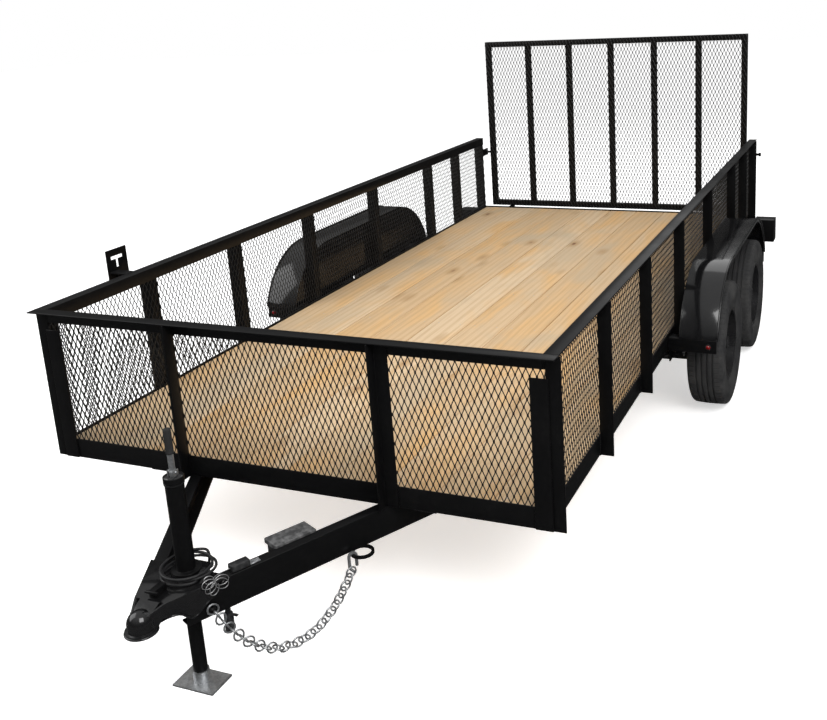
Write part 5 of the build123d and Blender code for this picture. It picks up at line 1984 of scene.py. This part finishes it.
@dataclass
class Studio:
    """Camera at the photograph's viewing angle, soft lamps, a pale floor and a white surround."""

    focal_pixels: float = 1011.8
    centre_shift: tuple[float, float] = (77.2, -102.8)
    azimuth: float = 0.396
    elevation: float = 0.2565
    roll: float = -0.0532
    place: Place = (1.9438, -4.4754, 2.0291)
    sensor: float = 36.0
    floor_size: float = 60.0
    surround_light: float = 0.6
    sky: tuple[float, float, float, float] = (0.25, 0.9, 0.06, 0.7)
    floor_glow: float = 0.55
    floor_tints: tuple[Colour, Colour] = ((0.93, 0.93, 0.93), (0.9, 0.9, 0.9))
    floor_reflection: Colour = (0.06, 0.06, 0.06)
    lamps: tuple[tuple[str, Place, Place, float, float], ...] = (
        ("key", (5.0, -5.0, 7.0), (0.0, 0.0, 0.4), 5.0, 520.0),
        ("fill", (-6.0, -3.0, 5.0), (0.0, 0.0, 0.4), 6.0, 260.0),
        ("back", (1.0, 7.0, 6.0), (0.0, 0.5, 0.6), 6.0, 120.0),
    )

    def camera(self) -> None:
        """Place the camera."""
        data = bpy.data.cameras.new("camera")
        data.sensor_fit = "HORIZONTAL"
        data.sensor_width = self.sensor
        data.lens = self.focal_pixels * self.sensor / IMAGE_WIDTH
        data.shift_x = -self.centre_shift[0] / IMAGE_WIDTH
        data.shift_y = self.centre_shift[1] / IMAGE_WIDTH
        back = Vector((
            math.sin(self.azimuth) * math.cos(self.elevation),
            -math.cos(self.azimuth) * math.cos(self.elevation),
            math.sin(self.elevation),
        ))
        level = Vector((0.0, 0.0, 1.0)).cross(back).normalized()
        upright = back.cross(level)
        turn = Matrix((level, upright, back)).transposed() @ Matrix.Rotation(self.roll, 3, "Z")
        camera = bpy.data.objects.new("camera", data)
        camera.matrix_world = Matrix.Translation(self.place) @ turn.to_4x4()
        bpy.context.scene.collection.objects.link(camera)
        bpy.context.scene.camera = camera

    def surround(self) -> None:
        """White surround for the camera, a soft light from it, and a sky that only reflections see."""
        world = bpy.data.worlds.new("surround")
        world.use_nodes = True
        tree = world.node_tree
        tree.nodes.clear()
        path = tree.nodes.new("ShaderNodeLightPath")
        direction = tree.nodes.new("ShaderNodeSeparateXYZ")
        tree.links.new(tree.nodes.new("ShaderNodeTexCoord").outputs["Generated"], direction.inputs[0])
        sky = tree.nodes.new("ShaderNodeMapRange")
        tree.links.new(direction.outputs["Z"], sky.inputs["Value"])
        for label, value in zip(("From Min", "From Max", "To Min", "To Max"), self.sky):
            sky.inputs[label].default_value = value
        layers = (
            (None, self.surround_light),
            ("Is Glossy Ray", sky),
            ("Is Camera Ray", 1.0),
            ("Is Transmission Ray", 1.0),
        )
        shown = None
        for ray, strength in layers:
            layer = tree.nodes.new("ShaderNodeBackground")
            layer.inputs["Color"].default_value = (1.0, 1.0, 1.0, 1.0)
            if isinstance(strength, float):
                layer.inputs["Strength"].default_value = strength
            else:
                tree.links.new(strength.outputs["Result"], layer.inputs["Strength"])
            if ray is None:
                shown = layer.outputs[0]
                continue
            mixed = tree.nodes.new("ShaderNodeMixShader")
            tree.links.new(path.outputs[ray], mixed.inputs[0])
            tree.links.new(shown, mixed.inputs[1])
            tree.links.new(layer.outputs[0], mixed.inputs[2])
            shown = mixed.outputs[0]
        out = tree.nodes.new("ShaderNodeOutputWorld")
        tree.links.new(shown, out.inputs[0])
        bpy.context.scene.world = world

    def floor(self) -> None:
        """Lay the pale floor, which shows white with soft shadows and stays dim in reflections."""
        draft = bmesh.new()
        bmesh.ops.create_grid(draft, x_segments=1, y_segments=1, size=self.floor_size / 2)
        floor = add_object("floor", mesh_of("floor", draft))
        sketch = ShaderSketch("floor")
        path = sketch.node("ShaderNodeLightPath")
        cloud = sketch.noise(sketch.place, scale=0.8, detail=2.0)
        pale = sketch.mix(cloud, *self.floor_tints)
        sketch.set(
            Base_Color=sketch.mix(path.outputs["Is Glossy Ray"], pale, self.floor_reflection),
            Roughness=0.9,
            Specular_IOR_Level=0.1,
            Emission_Color=(1.0, 1.0, 1.0, 1.0),
            Emission_Strength=sketch.sums("MULTIPLY", path.outputs["Is Camera Ray"], self.floor_glow),
        )
        floor.data.materials.append(sketch.material)

    @staticmethod
    def lamp(name: str, place: Sequence[float], aim: Sequence[float], size: float, power: float) -> None:
        """Add a square soft lamp.

        Args:
            name: The lamp's name.
            place: Where it stands.
            aim: The point it looks at.
            size: Length of its sides.
            power: Its power in watts.
        """
        data = bpy.data.lights.new(name, "AREA")
        data.size = size
        data.energy = power
        lamp = bpy.data.objects.new(name, data)
        back = (Vector(place) - Vector(aim)).normalized()
        lamp.matrix_world = Matrix.Translation(place) @ back.to_track_quat("Z", "Y").to_matrix().to_4x4()
        bpy.context.scene.collection.objects.link(lamp)

    def dress(self) -> None:
        """Build the whole studio."""
        bpy.context.scene.view_settings.view_transform = "Standard"
        self.camera()
        self.surround()
        self.floor()
        for row in self.lamps:
            self.lamp(*row)


def main() -> None:
    """Build the trailer's pieces in order."""
    logging.basicConfig(level=logging.INFO, format="%(message)s")
    deck = Deck()
    finishes = Finishes(deck.timber())
    small_things = SetOutTree()
    chassis = Body.CHASSIS.value
    Studio().dress()
    OwnSolids.dress(finishes)
    Steelwork(
        "black_steel",
        chassis,
        (
            "rail_left", "rail_right", "rail_front", "rail_rear", "crossmembers",
            "posts_left", "posts_right", "top_rail_left", "top_rail_right", "top_rail_front",
            "tongue_left", "tongue_right", "fender_brackets", "tail_boxes", "spare_carrier",
        ),
    ).dress(finishes)
    Steelwork("black_steel", chassis, ("fender_left", "fender_right"), look="fender_gloss").dress(finishes)
    FrontPosts("black_steel", chassis, ("posts_front",)).dress(finishes)
    fittings = ("coupler_latch", "jack_housing", "gate_hinges", "gate_catches")
    Steelwork("black_steel", chassis, fittings, edge=0.8 * MILLIMETRE).dress(finishes)
    coupler = ("coupler",)
    Steelwork("black_steel", chassis, coupler, edge=2.6 * MILLIMETRE, look="fender_gloss").dress(finishes)
    boxes = ("battery_box", "breakaway_switch")
    Steelwork("box_plastic", chassis, boxes, edge=3.0 * MILLIMETRE).dress(finishes)
    Steelwork("black_steel", Body.GATE.value, ("gate_frame", "gate_lugs")).dress(finishes)
    ExpandedMetal().dress(finishes)
    deck.dress(finishes, small_things)
    Tyres().dress(finishes, small_things)
    SafetyChain().dress(finishes, small_things)
    Harness().dress(finishes)
    Lanyard().dress(finishes)
    TongueFittings().dress(finishes)
    CouplerLip().dress(finishes)
    FenderBeads().dress(finishes)
    MarkerLamps().dress(finishes)
    LugNuts().dress(finishes, small_things)
    Welds().dress(finishes, small_things)


if __name__ == "__main__":
    main()
